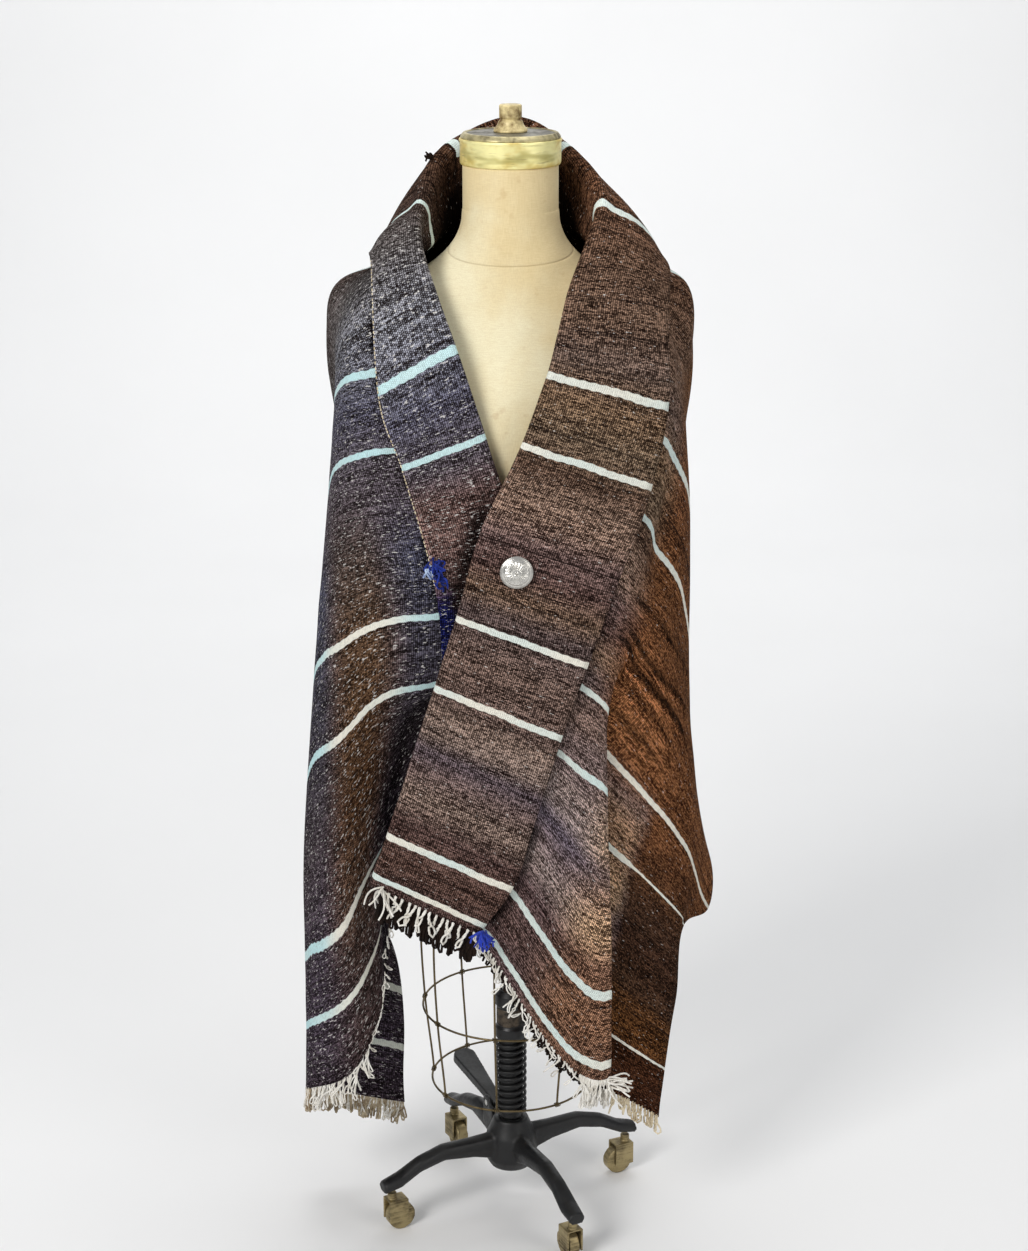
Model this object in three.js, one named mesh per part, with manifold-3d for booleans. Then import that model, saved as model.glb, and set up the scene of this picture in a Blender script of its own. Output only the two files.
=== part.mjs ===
// A striped, fringed wool blanket worn as a shawl on a limbless dress form with a wheeled stand.
// Millimetres, +Z up, the front faces -Y and the origin is on the floor under the form's pole.
import * as THREE from 'three';
import { mergeVertices } from 'three/addons/utils/BufferGeometryUtils.js';
import Module from 'manifold-3d';

const wasm = await Module();
wasm.setup();

// ---- driving dimensions ----
const CLOTH = 3; // wall of the wool cloth
const SEAM = 0.3; // gap between neighbouring pieces
const RETURN = 20; // how far the folded band runs back under itself
const RETURN_GAP = 3; // between the band's turned-back part and the body
const FRINGE = 36; // reach of the fringe below an end
const FRINGE_LEAN = 0.25; // how far the fringe follows the cloth rather than hanging straight
const FRINGE_WALL = 3;
const FRINGE_GAP = 2; // between an end of the cloth and its fringe
const END_SAG = { depth: 60, span: 300 }; // how the right end hangs between band and ridge

const NECK = { radius: 57, base: 1236, top: 1341 };
const CAP = { radius: 60, height: 30, lid: 6, rim: 3 };
const KNOB = { top: 1409, radius: 17, stem: 7, flange: 21 };
const TORSO_BOTTOM = 556;
const POLE = { radius: 12, bottom: 72 };
const TUBE = { inner: 13, outer: 16, bottom: 122, top: 262 };
const COLLAR_CLAMP = { radius: 20, bottom: 232, top: 300 };
const SPRING = { inner: 16.5, outer: 20.5, bottom: 124, top: 230 };
const HUB = { radius: 30, bottom: 52, top: 120 };
const LEG = { count: 4, first: 27, reach: 170 };
const CASTER = { radius: 18, width: 14, facets: 20, trail: 11, pin: 3, bore: 3.8 };
const FORK = { gap: 1.6, cheek: 2.2, depth: 15, top: 43, plate: 2.4 };
const STEM = { radius: 6, top: 52 };
const PEDAL = { heading: 116, pivot: 45, height: 120, rise: 11, length: 98, thickness: 12, width: 18, pad: 15 };
const LUG = { width: 5, radius: 11, web: 28, drop: 30, bore: 4.3, pin: 4 };
const CAGE = { wire: 1.9, ribs: 8, first: -100, sides: 4 };
const CONCHO = { radius: 19.5, dome: 8, rim: 2.2, shank: 2.5, at: [7, -164.8, 897] };
const TASSEL = { radius: 6, length: 30, at: [-32, -171.8, 452] };
const FACETS = { neck: 32, button: 24, hub: 24, hoop: 22, column: 20, pin: 16, knob: 16, fork: 12, stem: 10 };

// The cloth, section by section from the right fringed end (warp 0) to the left one. Each row is one
// weft line of the blanket: where it leaves the folded edge, runs under the band, forms the front
// ridge, is tucked behind it, comes out again, creases at the side and ends at the lower selvedge.
const SECTIONS = [
  { name: 'right end', warp: 0, fold: [-162, -148, 505], under: [-36, -150, 430], ridge: [122, -132, 240],
    tuck: [90, -122, 226], emerge: [123, -111, 211], crease: [177, -86, 168], hem: [186, -78, 158] },
  { name: 'right stripe 1', warp: 75, fold: [-140, -150, 569], under: [-1, -152, 499], ridge: [122, -134, 353],
    tuck: [88, -124, 330], emerge: [123, -112, 290], crease: [183, -88, 237], hem: [192, -78, 226] },
  { name: 'right thigh', warp: 170, fold: [-111, -150, 661], under: [29, -153, 585], ridge: [119, -136, 480],
    tuck: [80, -125, 452], emerge: [120, -113, 418], crease: [198, -80, 336], hem: [205, -68, 322] },
  { name: 'right stripe 2', warp: 275, fold: [-82, -150, 753], under: [58, -152, 672], ridge: [114, -136, 614],
    tuck: [68, -125, 578], emerge: [116, -113, 541], crease: [209, -74, 432], hem: [214, -56, 412] },
  { name: 'right stripe 3', warp: 363, fold: [-56, -148, 837], under: [86, -150, 752], ridge: [114, -138, 718],
    tuck: [82, -127, 690], emerge: [116, -117, 657], crease: [211, -68, 524], hem: [248, -5, 412] },
  { name: 'right waist', warp: 470, fold: [-28, -146, 938], under: [120, -144, 850], ridge: [144, -132, 826],
    tuck: [160, -120, 800], emerge: [178, -106, 770], crease: [217, -44, 640], hem: [248, 50, 480] },
  { name: 'right stripe 4', warp: 578, fold: [19, -138, 1038], under: [158, -121, 946], ridge: [168, -106, 910],
    tuck: [190, -87, 876], emerge: [204, -66, 838], crease: [217, 5, 735], hem: [200, 128, 590] },
  { name: 'right stripe 5', warp: 661, fold: [48, -122, 1115], under: [175, -97, 1038], ridge: [187, -82, 1016],
    tuck: [200, -60, 988], emerge: [210, -34, 955], crease: [214, 45, 875], hem: [168, 143, 700] },
  { name: 'right shoulder', warp: 760, fold: [70, -95, 1195], under: [176, -57, 1153], ridge: [193, -38, 1122],
    tuck: [203, -16, 1092], emerge: [207, 10, 1050], crease: [207, 65, 980], hem: [135, 146, 775] },
  { name: 'right neck', warp: 870, fold: [98, -12, 1276], under: [94, -6, 1248], ridge: [155, 4, 1226],
    tuck: [203, 13, 1203], emerge: [209, 27, 1156], crease: [207, 68, 1065], hem: [108, 146, 820] },
  { name: 'right nape', warp: 965, fold: [57, 70, 1340], under: [57, 65, 1266], ridge: [98, 87, 1219],
    tuck: [124, 105, 1178], emerge: [140, 119, 1128], crease: [143, 131, 1042], hem: [66, 148, 848] },
  { name: 'centre back', warp: 1035, fold: [2, 88, 1369], under: [2, 79, 1268], ridge: [2, 100, 1219],
    tuck: [2, 113, 1170], emerge: [2, 122, 1113], crease: [2, 131, 1022], hem: [2, 144, 845] },
  { name: 'left nape', warp: 1100, fold: [-62, 68, 1341], under: [-59, 64, 1266], ridge: [-97, 87, 1219],
    tuck: [-124, 105, 1178], emerge: [-140, 119, 1128], crease: [-144, 131, 1042], hem: [-72, 148, 848] },
  { name: 'left neck', warp: 1200, fold: [-96, -8, 1276], under: [-92, -6, 1248], ridge: [-149, 4, 1224],
    tuck: [-200, 12, 1202], emerge: [-212, 25, 1156], crease: [-207, 66, 1062], hem: [-122, 146, 815] },
  { name: 'left shoulder', warp: 1310, fold: [-106, -50, 1238], under: [-148, -46, 1218],
    ridge: [-184, -38, 1188],
    tuck: [-202, -21, 1147], emerge: [-206, 4, 1100], crease: [-208, 60, 1010], hem: [-150, 146, 775] },
  { name: 'left stripe 5', warp: 1390, fold: [-66, -106, 1140], under: [-158, -84, 1113],
    ridge: [-188, -65, 1101],
    tuck: [-202, -40, 1082], emerge: [-208, -8, 1056], crease: [-211, 52, 975], hem: [-168, 143, 745] },
  { name: 'left stripe 4', warp: 1490, fold: [-34, -123, 1045], under: [-136, -106, 1027],
    ridge: [-175, -90, 1016],
    tuck: [-200, -60, 998], emerge: [-214, -18, 968], crease: [-221, 48, 885], hem: [-196, 132, 665] },
  { name: 'left stripe 3', warp: 1705, fold: [12, -125, 852], under: [-82, -122, 833], ridge: [-148, -114, 821],
    tuck: [-202, -84, 784], emerge: [-234, -22, 738], crease: [-245, 47, 660], hem: [-238, 102, 520] },
  { name: 'left stripe 2', warp: 1790, fold: [2, -124, 780], under: [-86, -117, 748], ridge: [-150, -112, 729],
    tuck: [-204, -92, 670], emerge: [-241, -26, 618], crease: [-254, 36, 548], hem: [-226, 86, 432] },
  { name: 'left thigh', warp: 1880, fold: [-45, -120, 735], under: [-114, -92, 690], ridge: [-158, -98, 632],
    tuck: [-205, -97, 562], emerge: [-249, -30, 488], crease: [-256, 34, 428], hem: [-161, 72, 345] },
  { name: 'left stripe 1', warp: 1960, fold: [-104, -102, 624], under: [-150, -64, 534], ridge: [-173, -90, 498],
    tuck: [-206, -102, 426], emerge: [-252, -34, 364], crease: [-253, 34, 318], hem: [-142, 54, 270] },
  { name: 'left low stripe', warp: 2045, fold: [-128, -72, 545], under: [-156, -46, 448],
    ridge: [-168, -62, 384],
    tuck: [-200, -88, 326], emerge: [-253, -38, 268], crease: [-252, 34, 230], hem: [-141, 53, 190] },
  { name: 'left end', warp: 2120, fold: [-142, -30, 462], under: [-156, -46, 380], ridge: [-165, -58, 284],
    tuck: [-200, -88, 224], emerge: [-254, -46, 182], crease: [-253, 30, 144], hem: [-141, 52, 112] },
];
const RAILS = ['fold', 'under', 'ridge', 'tuck', 'emerge', 'crease', 'hem'];

// The folded-out band: the place of its free selvedge, the radius of its roll and its swell.
const BAND = [
  { warp: 0, edge: [-37, -163, 444], roll: 5.5, swell: 0 },
  { warp: 75, edge: [2, -165, 505], roll: 5.5, swell: 2 },
  { warp: 170, edge: [31, -166, 598], roll: 5.5, swell: 2 },
  { warp: 275, edge: [60, -165, 695], roll: 5.5, swell: 2 },
  { warp: 363, edge: [90, -163, 784], roll: 5.5, swell: 2 },
  { warp: 470, edge: [126, -158, 888], roll: 5.5, swell: 2 },
  { warp: 578, edge: [162, -140, 991], roll: 6, swell: 3 },
  { warp: 661, edge: [180, -119, 1080], roll: 7, swell: 5 },
  { warp: 760, edge: [181, -72, 1182], roll: 9, swell: 8 },
  { warp: 870, edge: [178, 10, 1232], roll: 13, swell: 12 },
  { warp: 965, edge: [112, 120, 1234], roll: 9, swell: 6 },
  { warp: 1035, edge: [2, 150, 1240], roll: 10, swell: 6 },
  { warp: 1100, edge: [-117, 118, 1238], roll: 10, swell: 6 },
  { warp: 1200, edge: [-159, 8, 1232], roll: 12.5, swell: 9 },
  { warp: 1310, edge: [-160, -47, 1224], roll: 9, swell: 7 },
  { warp: 1390, edge: [-152, -102, 1094], roll: 6, swell: 4 },
  { warp: 1490, edge: [-125, -121, 1009], roll: 5, swell: 2 },
  { warp: 1705, edge: [-84, -134, 845], roll: 4.5, swell: 0 },
  { warp: 1790, edge: [-79, -132, 775], roll: 4.5, swell: 0 },
];
const RIGHT_NECK = 815;
const LEFT_NECK = 1255;
const SIDE_RIGHT = 620;
const SIDE_LEFT = 1440;
const CENTRE = 1035;
const BAND_END = 1790;
const ENDS = { right: 0, left: 2120 };

// The form: height, half width, front depth and back depth of each level.
const TORSO = [
  { z: 556, half: 164, front: 104, back: 104 },
  { z: 575, half: 170, front: 110, back: 112 },
  { z: 680, half: 172, front: 112, back: 120 },
  { z: 770, half: 150, front: 102, back: 104 },
  { z: 860, half: 122, front: 92, back: 80 },
  { z: 930, half: 130, front: 104, back: 82 },
  { z: 1010, half: 152, front: 116, back: 92 },
  { z: 1080, half: 168, front: 108, back: 100 },
  { z: 1140, half: 184, front: 84, back: 98 },
  { z: 1176, half: 186, front: 70, back: 84 },
  { z: 1196, half: 160, front: 64, back: 74 },
  { z: 1214, half: 116, front: 60, back: 68 },
  { z: 1228, half: 78, front: 58, back: 62 },
  { z: 1236, half: 58, front: 57, back: 58 },
];
const TORSO_SIDES = 28;

const MATERIALS = {
  wool: { color: 0x4a342b, roughness: 0.95, metalness: 0 },
  fringe: { color: 0xd9d2c2, roughness: 0.95, metalness: 0 },
  yarn: { color: 0x2a3a9a, roughness: 0.9, metalness: 0 },
  silver: { color: 0xc9ccd0, roughness: 0.35, metalness: 1 },
  linen: { color: 0xe6d0a2, roughness: 0.8, metalness: 0 },
  brass: { color: 0xa8924e, roughness: 0.45, metalness: 1 },
  steel: { color: 0x8d8a82, roughness: 0.45, metalness: 1 },
  ivory: { color: 0xe9dfc4, roughness: 0.5, metalness: 0 },
  iron: { color: 0x1d1e22, roughness: 0.6, metalness: 0.6 },
  wire: { color: 0x6b5f4c, roughness: 0.5, metalness: 1 },
};

const model = new THREE.Group();

function add(name, geometry, material) {
  const mesh = new THREE.Mesh(geometry, new THREE.MeshStandardMaterial(MATERIALS[material]));
  mesh.name = name;
  model.add(mesh);
  return mesh;
}

// ---- small tools ----
const vec = (p) => new THREE.Vector3(p[0], p[1], p[2]);

// A smooth cubic through values at uneven knots.
function spline(knots, values, t) {
  const last = knots.length - 1;
  let i = 0;
  while (i < last - 1 && t > knots[i + 1]) i += 1;
  const slope = (k) => {
    const a = Math.max(k, 1);
    const b = Math.min(k, last - 1);
    const before = (values[a] - values[a - 1]) / (knots[a] - knots[a - 1]);
    const after = (values[b + 1] - values[b]) / (knots[b + 1] - knots[b]);
    const spanBefore = knots[a] - knots[a - 1];
    const spanAfter = knots[b + 1] - knots[b];
    return (before * spanAfter + after * spanBefore) / (spanBefore + spanAfter);
  };
  const h = knots[i + 1] - knots[i];
  const f = (t - knots[i]) / h;
  const f2 = f * f;
  const f3 = f2 * f;
  return (2 * f3 - 3 * f2 + 1) * values[i] + (f3 - 2 * f2 + f) * h * slope(i)
    + (3 * f2 - 2 * f3) * values[i + 1] + (f3 - f2) * h * slope(i + 1);
}

function splinePoint(knots, points, t) {
  const axis = (k) => spline(knots, points.map((p) => p.getComponent(k)), t);
  return new THREE.Vector3(axis(0), axis(1), axis(2));
}

const sectionWarps = SECTIONS.map((row) => row.warp);
const railPoints = Object.fromEntries(RAILS.map((rail) => [rail, SECTIONS.map((row) => vec(row[rail]))]));

// The seven rail points of the weft line at one warp place, with square-root chord knots.
const lineCache = new Map();
function weftLine(warp) {
  if (!lineCache.has(warp)) {
    const points = RAILS.map((rail) => splinePoint(sectionWarps, railPoints[rail], warp));
    const knots = [0];
    for (let k = 1; k < points.length; k += 1) {
      knots.push(knots[k - 1] + Math.sqrt(points[k].distanceTo(points[k - 1])));
    }
    lineCache.set(warp, { points, knots });
  }
  return lineCache.get(warp);
}

// A point of the cloth: rail 0 is the fold and rail 6 is the lower selvedge. Between the band and the
// front ridge the right end sags.
function clothPoint(warp, rail) {
  const { points, knots } = weftLine(warp);
  const k = Math.min(Math.floor(rail), points.length - 2);
  const point = splinePoint(knots, points, knots[k] + (rail - k) * (knots[k + 1] - knots[k]));
  if (k === 1 && warp < END_SAG.span) {
    const across = Math.sin(Math.PI * (rail - k)) ** 1.5;
    point.z -= END_SAG.depth * (1 - warp / END_SAG.span) * across;
  }
  return point;
}

// A closed geometry from vertices and triangles, turned so that its faces point out.
function closed(vertices, triangles) {
  let volume = 0;
  for (const [a, b, c] of triangles) {
    volume += vertices[a].dot(new THREE.Vector3().crossVectors(vertices[b], vertices[c]));
  }
  const index = triangles.flatMap(([a, b, c]) => (volume < 0 ? [a, c, b] : [a, b, c]));
  const geometry = new THREE.BufferGeometry().setFromPoints(vertices);
  geometry.setIndex(index);
  geometry.computeVertexNormals();
  return geometry;
}

// A wall of even thickness about a grid of middle points with their normals.
function wall(middle, normals, thickness) {
  const rows = middle.length;
  const columns = middle[0].length;
  const vertices = [];
  for (const side of [0.5, -0.5]) {
    middle.forEach((row, i) => row.forEach((p, j) => {
      vertices.push(p.clone().addScaledVector(normals[i][j], side * thickness));
    }));
  }
  const at = (side, i, j) => side * rows * columns + i * columns + j;
  const triangles = [];
  const quad = (a, b, c, d) => triangles.push([a, b, c], [a, c, d]);
  for (let i = 0; i + 1 < rows; i += 1) {
    for (let j = 0; j + 1 < columns; j += 1) {
      quad(at(0, i, j), at(0, i + 1, j), at(0, i + 1, j + 1), at(0, i, j + 1));
      quad(at(1, i, j), at(1, i, j + 1), at(1, i + 1, j + 1), at(1, i + 1, j));
    }
  }
  for (let i = 0; i + 1 < rows; i += 1) {
    quad(at(0, i, 0), at(1, i, 0), at(1, i + 1, 0), at(0, i + 1, 0));
    quad(at(0, i, columns - 1), at(0, i + 1, columns - 1), at(1, i + 1, columns - 1), at(1, i, columns - 1));
  }
  for (let j = 0; j + 1 < columns; j += 1) {
    quad(at(0, 0, j), at(0, 0, j + 1), at(1, 0, j + 1), at(1, 0, j));
    quad(at(0, rows - 1, j), at(1, rows - 1, j), at(1, rows - 1, j + 1), at(0, rows - 1, j + 1));
  }
  return closed(vertices, triangles);
}

// Pulls the outer rows and columns of a grid in by half a seam gap.
function trim(middle) {
  const pull = (p, inner) => p.addScaledVector(inner.clone().sub(p).normalize(), SEAM / 2);
  const last = middle.length - 1;
  for (const row of middle) {
    pull(row[0], row[1]);
    pull(row[row.length - 1], row[row.length - 2]);
  }
  middle[0].forEach((p, j) => pull(p, middle[1][j]));
  middle[last].forEach((p, j) => pull(p, middle[last - 1][j]));
  return middle;
}

function sampled(values, step) {
  const out = [values[0]];
  for (let k = 1; k < values.length; k += 1) {
    const count = Math.max(1, Math.round((values[k] - values[k - 1]) / step));
    for (let n = 1; n <= count; n += 1) {
      out.push(values[k - 1] + ((values[k] - values[k - 1]) * n) / count);
    }
  }
  return out;
}

const stopsBetween = (from, to) => [from, ...sectionWarps.filter((w) => w > from + 8 && w < to - 8), to];

// The rail place that lies a given distance from the fold.
function railAfterFold(warp, distance) {
  const { points } = weftLine(warp);
  return Math.min(0.9, distance / points[0].distanceTo(points[1]));
}

// ---- the blanket's body ----
const WARP_STEP = 46;
const clothNormal = (warp, rail) => {
  const low = Math.max(warp - 1, ENDS.right);
  const high = Math.min(warp + 1, ENDS.left);
  const along = clothPoint(high, rail).sub(clothPoint(low, rail));
  const across = clothPoint(warp, Math.min(rail + 0.02, 6)).sub(clothPoint(warp, Math.max(rail - 0.02, 0)));
  return along.cross(across).normalize();
};

// Where the cloth is sampled across, in rails; neighbouring pieces share these places.
const ACROSS = [0, 1, 1.25, 1.5, 1.75, 2, 2.25, 2.5, 2.75, 3, 3.5, 4, 4.5, 5, 5.5, 6];

function panel(name, from, to, first, last) {
  const rails = ACROSS.filter((rail) => rail >= first && rail <= last);
  const warps = sampled(stopsBetween(from, to), WARP_STEP);
  const places = warps.map((warp) => {
    const start = railAfterFold(warp, RETURN + RETURN_GAP);
    return rails.map((rail) => (rail < start ? start : rail));
  });
  const middle = warps.map((warp, i) => places[i].map((rail) => clothPoint(warp, rail)));
  const normals = warps.map((warp, i) => places[i].map((rail) => clothNormal(warp, rail)));
  add(name, wall(trim(middle), normals, CLOTH), 'wool');
}

function blanketBody() {
  panel('front_right', ENDS.right, SIDE_RIGHT, 0, 2.5);
  panel('front_right_outer', ENDS.right, SIDE_RIGHT, 2.5, 5);
  panel('side_right', ENDS.right, SIDE_RIGHT, 5, 6);
  panel('shoulder_right', SIDE_RIGHT, RIGHT_NECK, 0, 6);
  panel('collar_stand', RIGHT_NECK, LEFT_NECK, 0, 1);
  panel('back_right', RIGHT_NECK, CENTRE, 1, 6);
  panel('back_left', CENTRE, LEFT_NECK, 1, 6);
  panel('shoulder_left', LEFT_NECK, SIDE_LEFT, 0, 6);
  panel('front_left', SIDE_LEFT, ENDS.left, 0, 4);
  panel('side_left', SIDE_LEFT, ENDS.left, 4, 6);
}

// ---- the folded band: collar and lapels ----
const bandWarps = BAND.map((row) => row.warp);
const bandEdges = BAND.map((row) => vec(row.edge));

// One weft line across the band: from under the fold, round the roll and out to the selvedge.
function bandLine(warp) {
  const fold = clothPoint(warp, 0);
  const edge = splinePoint(bandWarps, bandEdges, warp);
  const roll = spline(bandWarps, BAND.map((row) => row.roll), warp);
  const swell = spline(bandWarps, BAND.map((row) => row.swell), warp);
  const under = clothPoint(warp, railAfterFold(warp, RETURN)).sub(fold).normalize();
  const tangent = clothPoint(Math.min(warp + 2, ENDS.left), 0).sub(clothPoint(Math.max(warp - 2, 0), 0));
  const out = edge.clone().sub(fold);
  const normal = tangent.clone().cross(out).normalize().negate();
  const middle = fold.clone().addScaledVector(normal, roll);
  const top = middle.clone().addScaledVector(normal, roll);
  const away = edge.clone().sub(top).normalize();
  const back = under.clone().add(away).normalize();
  const line = [
    fold.clone().addScaledVector(under, RETURN),
    fold.clone().addScaledVector(under, RETURN / 4),
    middle.clone().addScaledVector(back, -0.7 * roll).addScaledVector(normal, -0.7 * roll),
    middle.clone().addScaledVector(back, -roll),
    middle.clone().addScaledVector(back, -0.7 * roll).addScaledVector(normal, 0.7 * roll),
  ];
  for (const share of [0.08, 0.36, 0.68, 1]) {
    const bulge = swell * Math.sin(Math.PI * share);
    line.push(top.clone().lerp(edge, share).addScaledVector(normal, bulge));
  }
  return line;
}

function gridNormals(middle) {
  return middle.map((row, i) => row.map((_, j) => {
    const a = middle[Math.min(i + 1, middle.length - 1)][j];
    const b = middle[Math.max(i - 1, 0)][j];
    const c = row[Math.min(j + 1, row.length - 1)];
    const d = row[Math.max(j - 1, 0)];
    return a.clone().sub(b).cross(c.clone().sub(d)).normalize();
  }));
}

function band(name, from, to) {
  const warps = sampled(stopsBetween(from, to), WARP_STEP);
  const middle = warps.map(bandLine);
  const normals = warps.map((warp) => {
    const near = [Math.max(warp - 2, ENDS.right), warp, Math.min(warp + 2, ENDS.left)];
    return gridNormals(near.map(bandLine))[1];
  });
  add(name, wall(trim(middle), normals, CLOTH), 'wool');
}

// ---- fringes: a plain wall of their reach along each end of the cloth ----
function fringe(name, line, along, normals) {
  const drop = new THREE.Vector3(0, 0, -1);
  const middle = line.map((p, i) => {
    const direction = along[i].clone().multiplyScalar(FRINGE_LEAN).add(drop).normalize();
    const edge = line[Math.min(i + 1, line.length - 1)].clone().sub(line[Math.max(i - 1, 0)]).normalize();
    const away = along[i].clone().projectOnPlane(edge).normalize();
    const start = p.clone().addScaledVector(away, FRINGE_GAP);
    return [start, start.clone().addScaledVector(direction, FRINGE)];
  });
  add(name, wall(middle, normals.map((normal) => [normal, normal]), FRINGE_WALL), 'fringe');
}

function bodyFringe(name, warp, inward, rails) {
  const line = rails.map((rail) => clothPoint(warp, rail));
  const along = rails.map((rail, i) => line[i].clone().sub(clothPoint(inward, rail)).normalize());
  fringe(name, line, along, rails.map((rail) => clothNormal(warp, rail)));
}

function fringes() {
  const step = 6;
  bodyFringe('fringe_front_right', ENDS.right, ENDS.right + step, [1, 1.25, 1.5, 1.75, 1.95]);
  bodyFringe('fringe_outer_right', ENDS.right, ENDS.right + step, [4, 4.5, 5, 5.5, 6]);
  bodyFringe('fringe_front_left', ENDS.left, ENDS.left - step, [1.5, 2, 2.5, 3, 3.5, 3.92]);
  bodyFringe('fringe_side_left', ENDS.left, ENDS.left - step, [4.08, 4.5, 5, 5.5, 6]);
  const flap = bandLine(ENDS.right).slice(5);
  const inner = bandLine(ENDS.right + step).slice(5);
  const normals = gridNormals([flap, inner])[0];
  fringe('fringe_lapel', flap, flap.map((p, i) => p.clone().sub(inner[i]).normalize()), normals);
}

// ---- the form ----
function ring(level, count) {
  return Array.from({ length: count }, (_, k) => {
    const angle = (2 * Math.PI * k) / count;
    const depth = Math.sin(angle) < 0 ? level.front : level.back;
    return new THREE.Vector3(level.half * Math.cos(angle), depth * Math.sin(angle), level.z);
  });
}

// A closed solid through rings of equal counts, capped at both ends.
function loft(rings) {
  const count = rings[0].length;
  const centre = (points) => points.reduce((sum, p) => sum.add(p), new THREE.Vector3()).divideScalar(count);
  const vertices = [...rings.flat(), centre(rings[0]), centre(rings[rings.length - 1])];
  const bottom = vertices.length - 2;
  const triangles = [];
  for (let k = 0; k < count; k += 1) {
    const next = (k + 1) % count;
    for (let i = 0; i + 1 < rings.length; i += 1) {
      const low = i * count;
      const high = low + count;
      triangles.push([low + k, low + next, high + next], [low + k, high + next, high + k]);
    }
    const top = (rings.length - 1) * count;
    triangles.push([bottom, next, k], [bottom + 1, top + k, top + next]);
  }
  return closed(vertices, triangles);
}

function turned(profile, segments) {
  const geometry = new THREE.LatheGeometry(profile.map(([r, z]) => new THREE.Vector2(r, z)), segments);
  return geometry.rotateX(Math.PI / 2);
}

function form() {
  add('torso', loft(TORSO.map((level) => ring(level, TORSO_SIDES))), 'linen');
  const neckBottom = NECK.base + SEAM;
  add('neck', turned([[0, neckBottom], [NECK.radius, neckBottom], [NECK.radius - 1, NECK.top], [0, NECK.top]],
    FACETS.neck), 'linen');
  const band = NECK.top + SEAM;
  const lid = band + CAP.height;
  add('neck_cap', turned([[0, band], [CAP.radius, band], [CAP.radius, lid], [0, lid]], FACETS.neck), 'brass');
  const plate = lid + SEAM;
  add('cap_lid', turned([[0, plate], [CAP.radius - 2, plate], [CAP.radius - 2, plate + CAP.rim],
    [CAP.radius - 12, plate + CAP.rim], [CAP.radius - 24, plate + CAP.lid], [0, plate + CAP.lid]],
    FACETS.neck), 'steel');
  const seat = plate + CAP.lid + SEAM;
  add('cap_knob', turned([[0, seat], [KNOB.flange, seat], [KNOB.flange - 5, seat + 6], [KNOB.stem, seat + 10],
    [KNOB.stem, seat + 14], [KNOB.radius, seat + 20], [KNOB.radius - 2, KNOB.top - 3], [KNOB.stem, KNOB.top],
    [0, KNOB.top]], FACETS.knob), 'ivory');
}

// ---- the stand ----
function solidOf(geometry) {
  const bare = geometry.clone();
  bare.deleteAttribute('normal');
  bare.deleteAttribute('uv');
  const merged = mergeVertices(bare, 1e-3);
  return new wasm.Manifold(new wasm.Mesh({
    numProp: 3,
    vertProperties: new Float32Array(merged.attributes.position.array),
    triVerts: new Uint32Array(merged.index.array),
  }));
}

function geometryOf(solid) {
  const mesh = solid.getMesh();
  const geometry = new THREE.BufferGeometry();
  geometry.setAttribute('position', new THREE.BufferAttribute(new Float32Array(mesh.vertProperties), 3));
  geometry.setIndex(new THREE.BufferAttribute(new Uint32Array(mesh.triVerts), 1));
  geometry.computeVertexNormals();
  return geometry;
}

const joined = (geometries) => geometryOf(geometries.map(solidOf).reduce((sum, next) => sum.add(next)));

function wire(points, radius, sides, steps) {
  const shape = new THREE.Shape(Array.from({ length: sides }, (_, k) => {
    const angle = (2 * Math.PI * k) / sides;
    return new THREE.Vector2(radius * Math.cos(angle), radius * Math.sin(angle));
  }));
  const path = new THREE.CatmullRomCurve3(points);
  return new THREE.ExtrudeGeometry(shape, { steps, bevelEnabled: false, extrudePath: path });
}

// Levels of the wire cage below the torso: its height and radius.
const CAGE_LEVELS = [
  { z: 554, radius: 100 },
  { z: 420, radius: 116 },
  { z: 280, radius: 112 },
  { z: 178, radius: 101 },
];
const CAGE_HOOPS = [CAGE_LEVELS[2], CAGE_LEVELS[3]];

function cage() {
  const hoops = CAGE_HOOPS.map(({ z, radius }) => {
    const section = Array.from({ length: CAGE.sides + 1 }, (_, k) => {
      const angle = (2 * Math.PI * k) / CAGE.sides;
      return [radius + CAGE.wire * Math.cos(angle), z + CAGE.wire * Math.sin(angle)];
    });
    return turned(section, FACETS.hoop);
  });
  const ribs = Array.from({ length: CAGE.ribs }, (_, k) => {
    const angle = THREE.MathUtils.degToRad(CAGE.first + (360 * k) / CAGE.ribs);
    const points = CAGE_LEVELS.map(({ z, radius }) => (
      new THREE.Vector3(radius * Math.cos(angle), radius * Math.sin(angle), z)));
    return wire(points, CAGE.wire * 0.9, CAGE.sides, 5);
  });
  add('cage', joined([...hoops, ...ribs]), 'wire');
}

function ringSolid(inner, outer, bottom, top, segments) {
  return turned([[inner, bottom], [outer, bottom], [outer, top], [inner, top], [inner, bottom]], segments);
}

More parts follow.
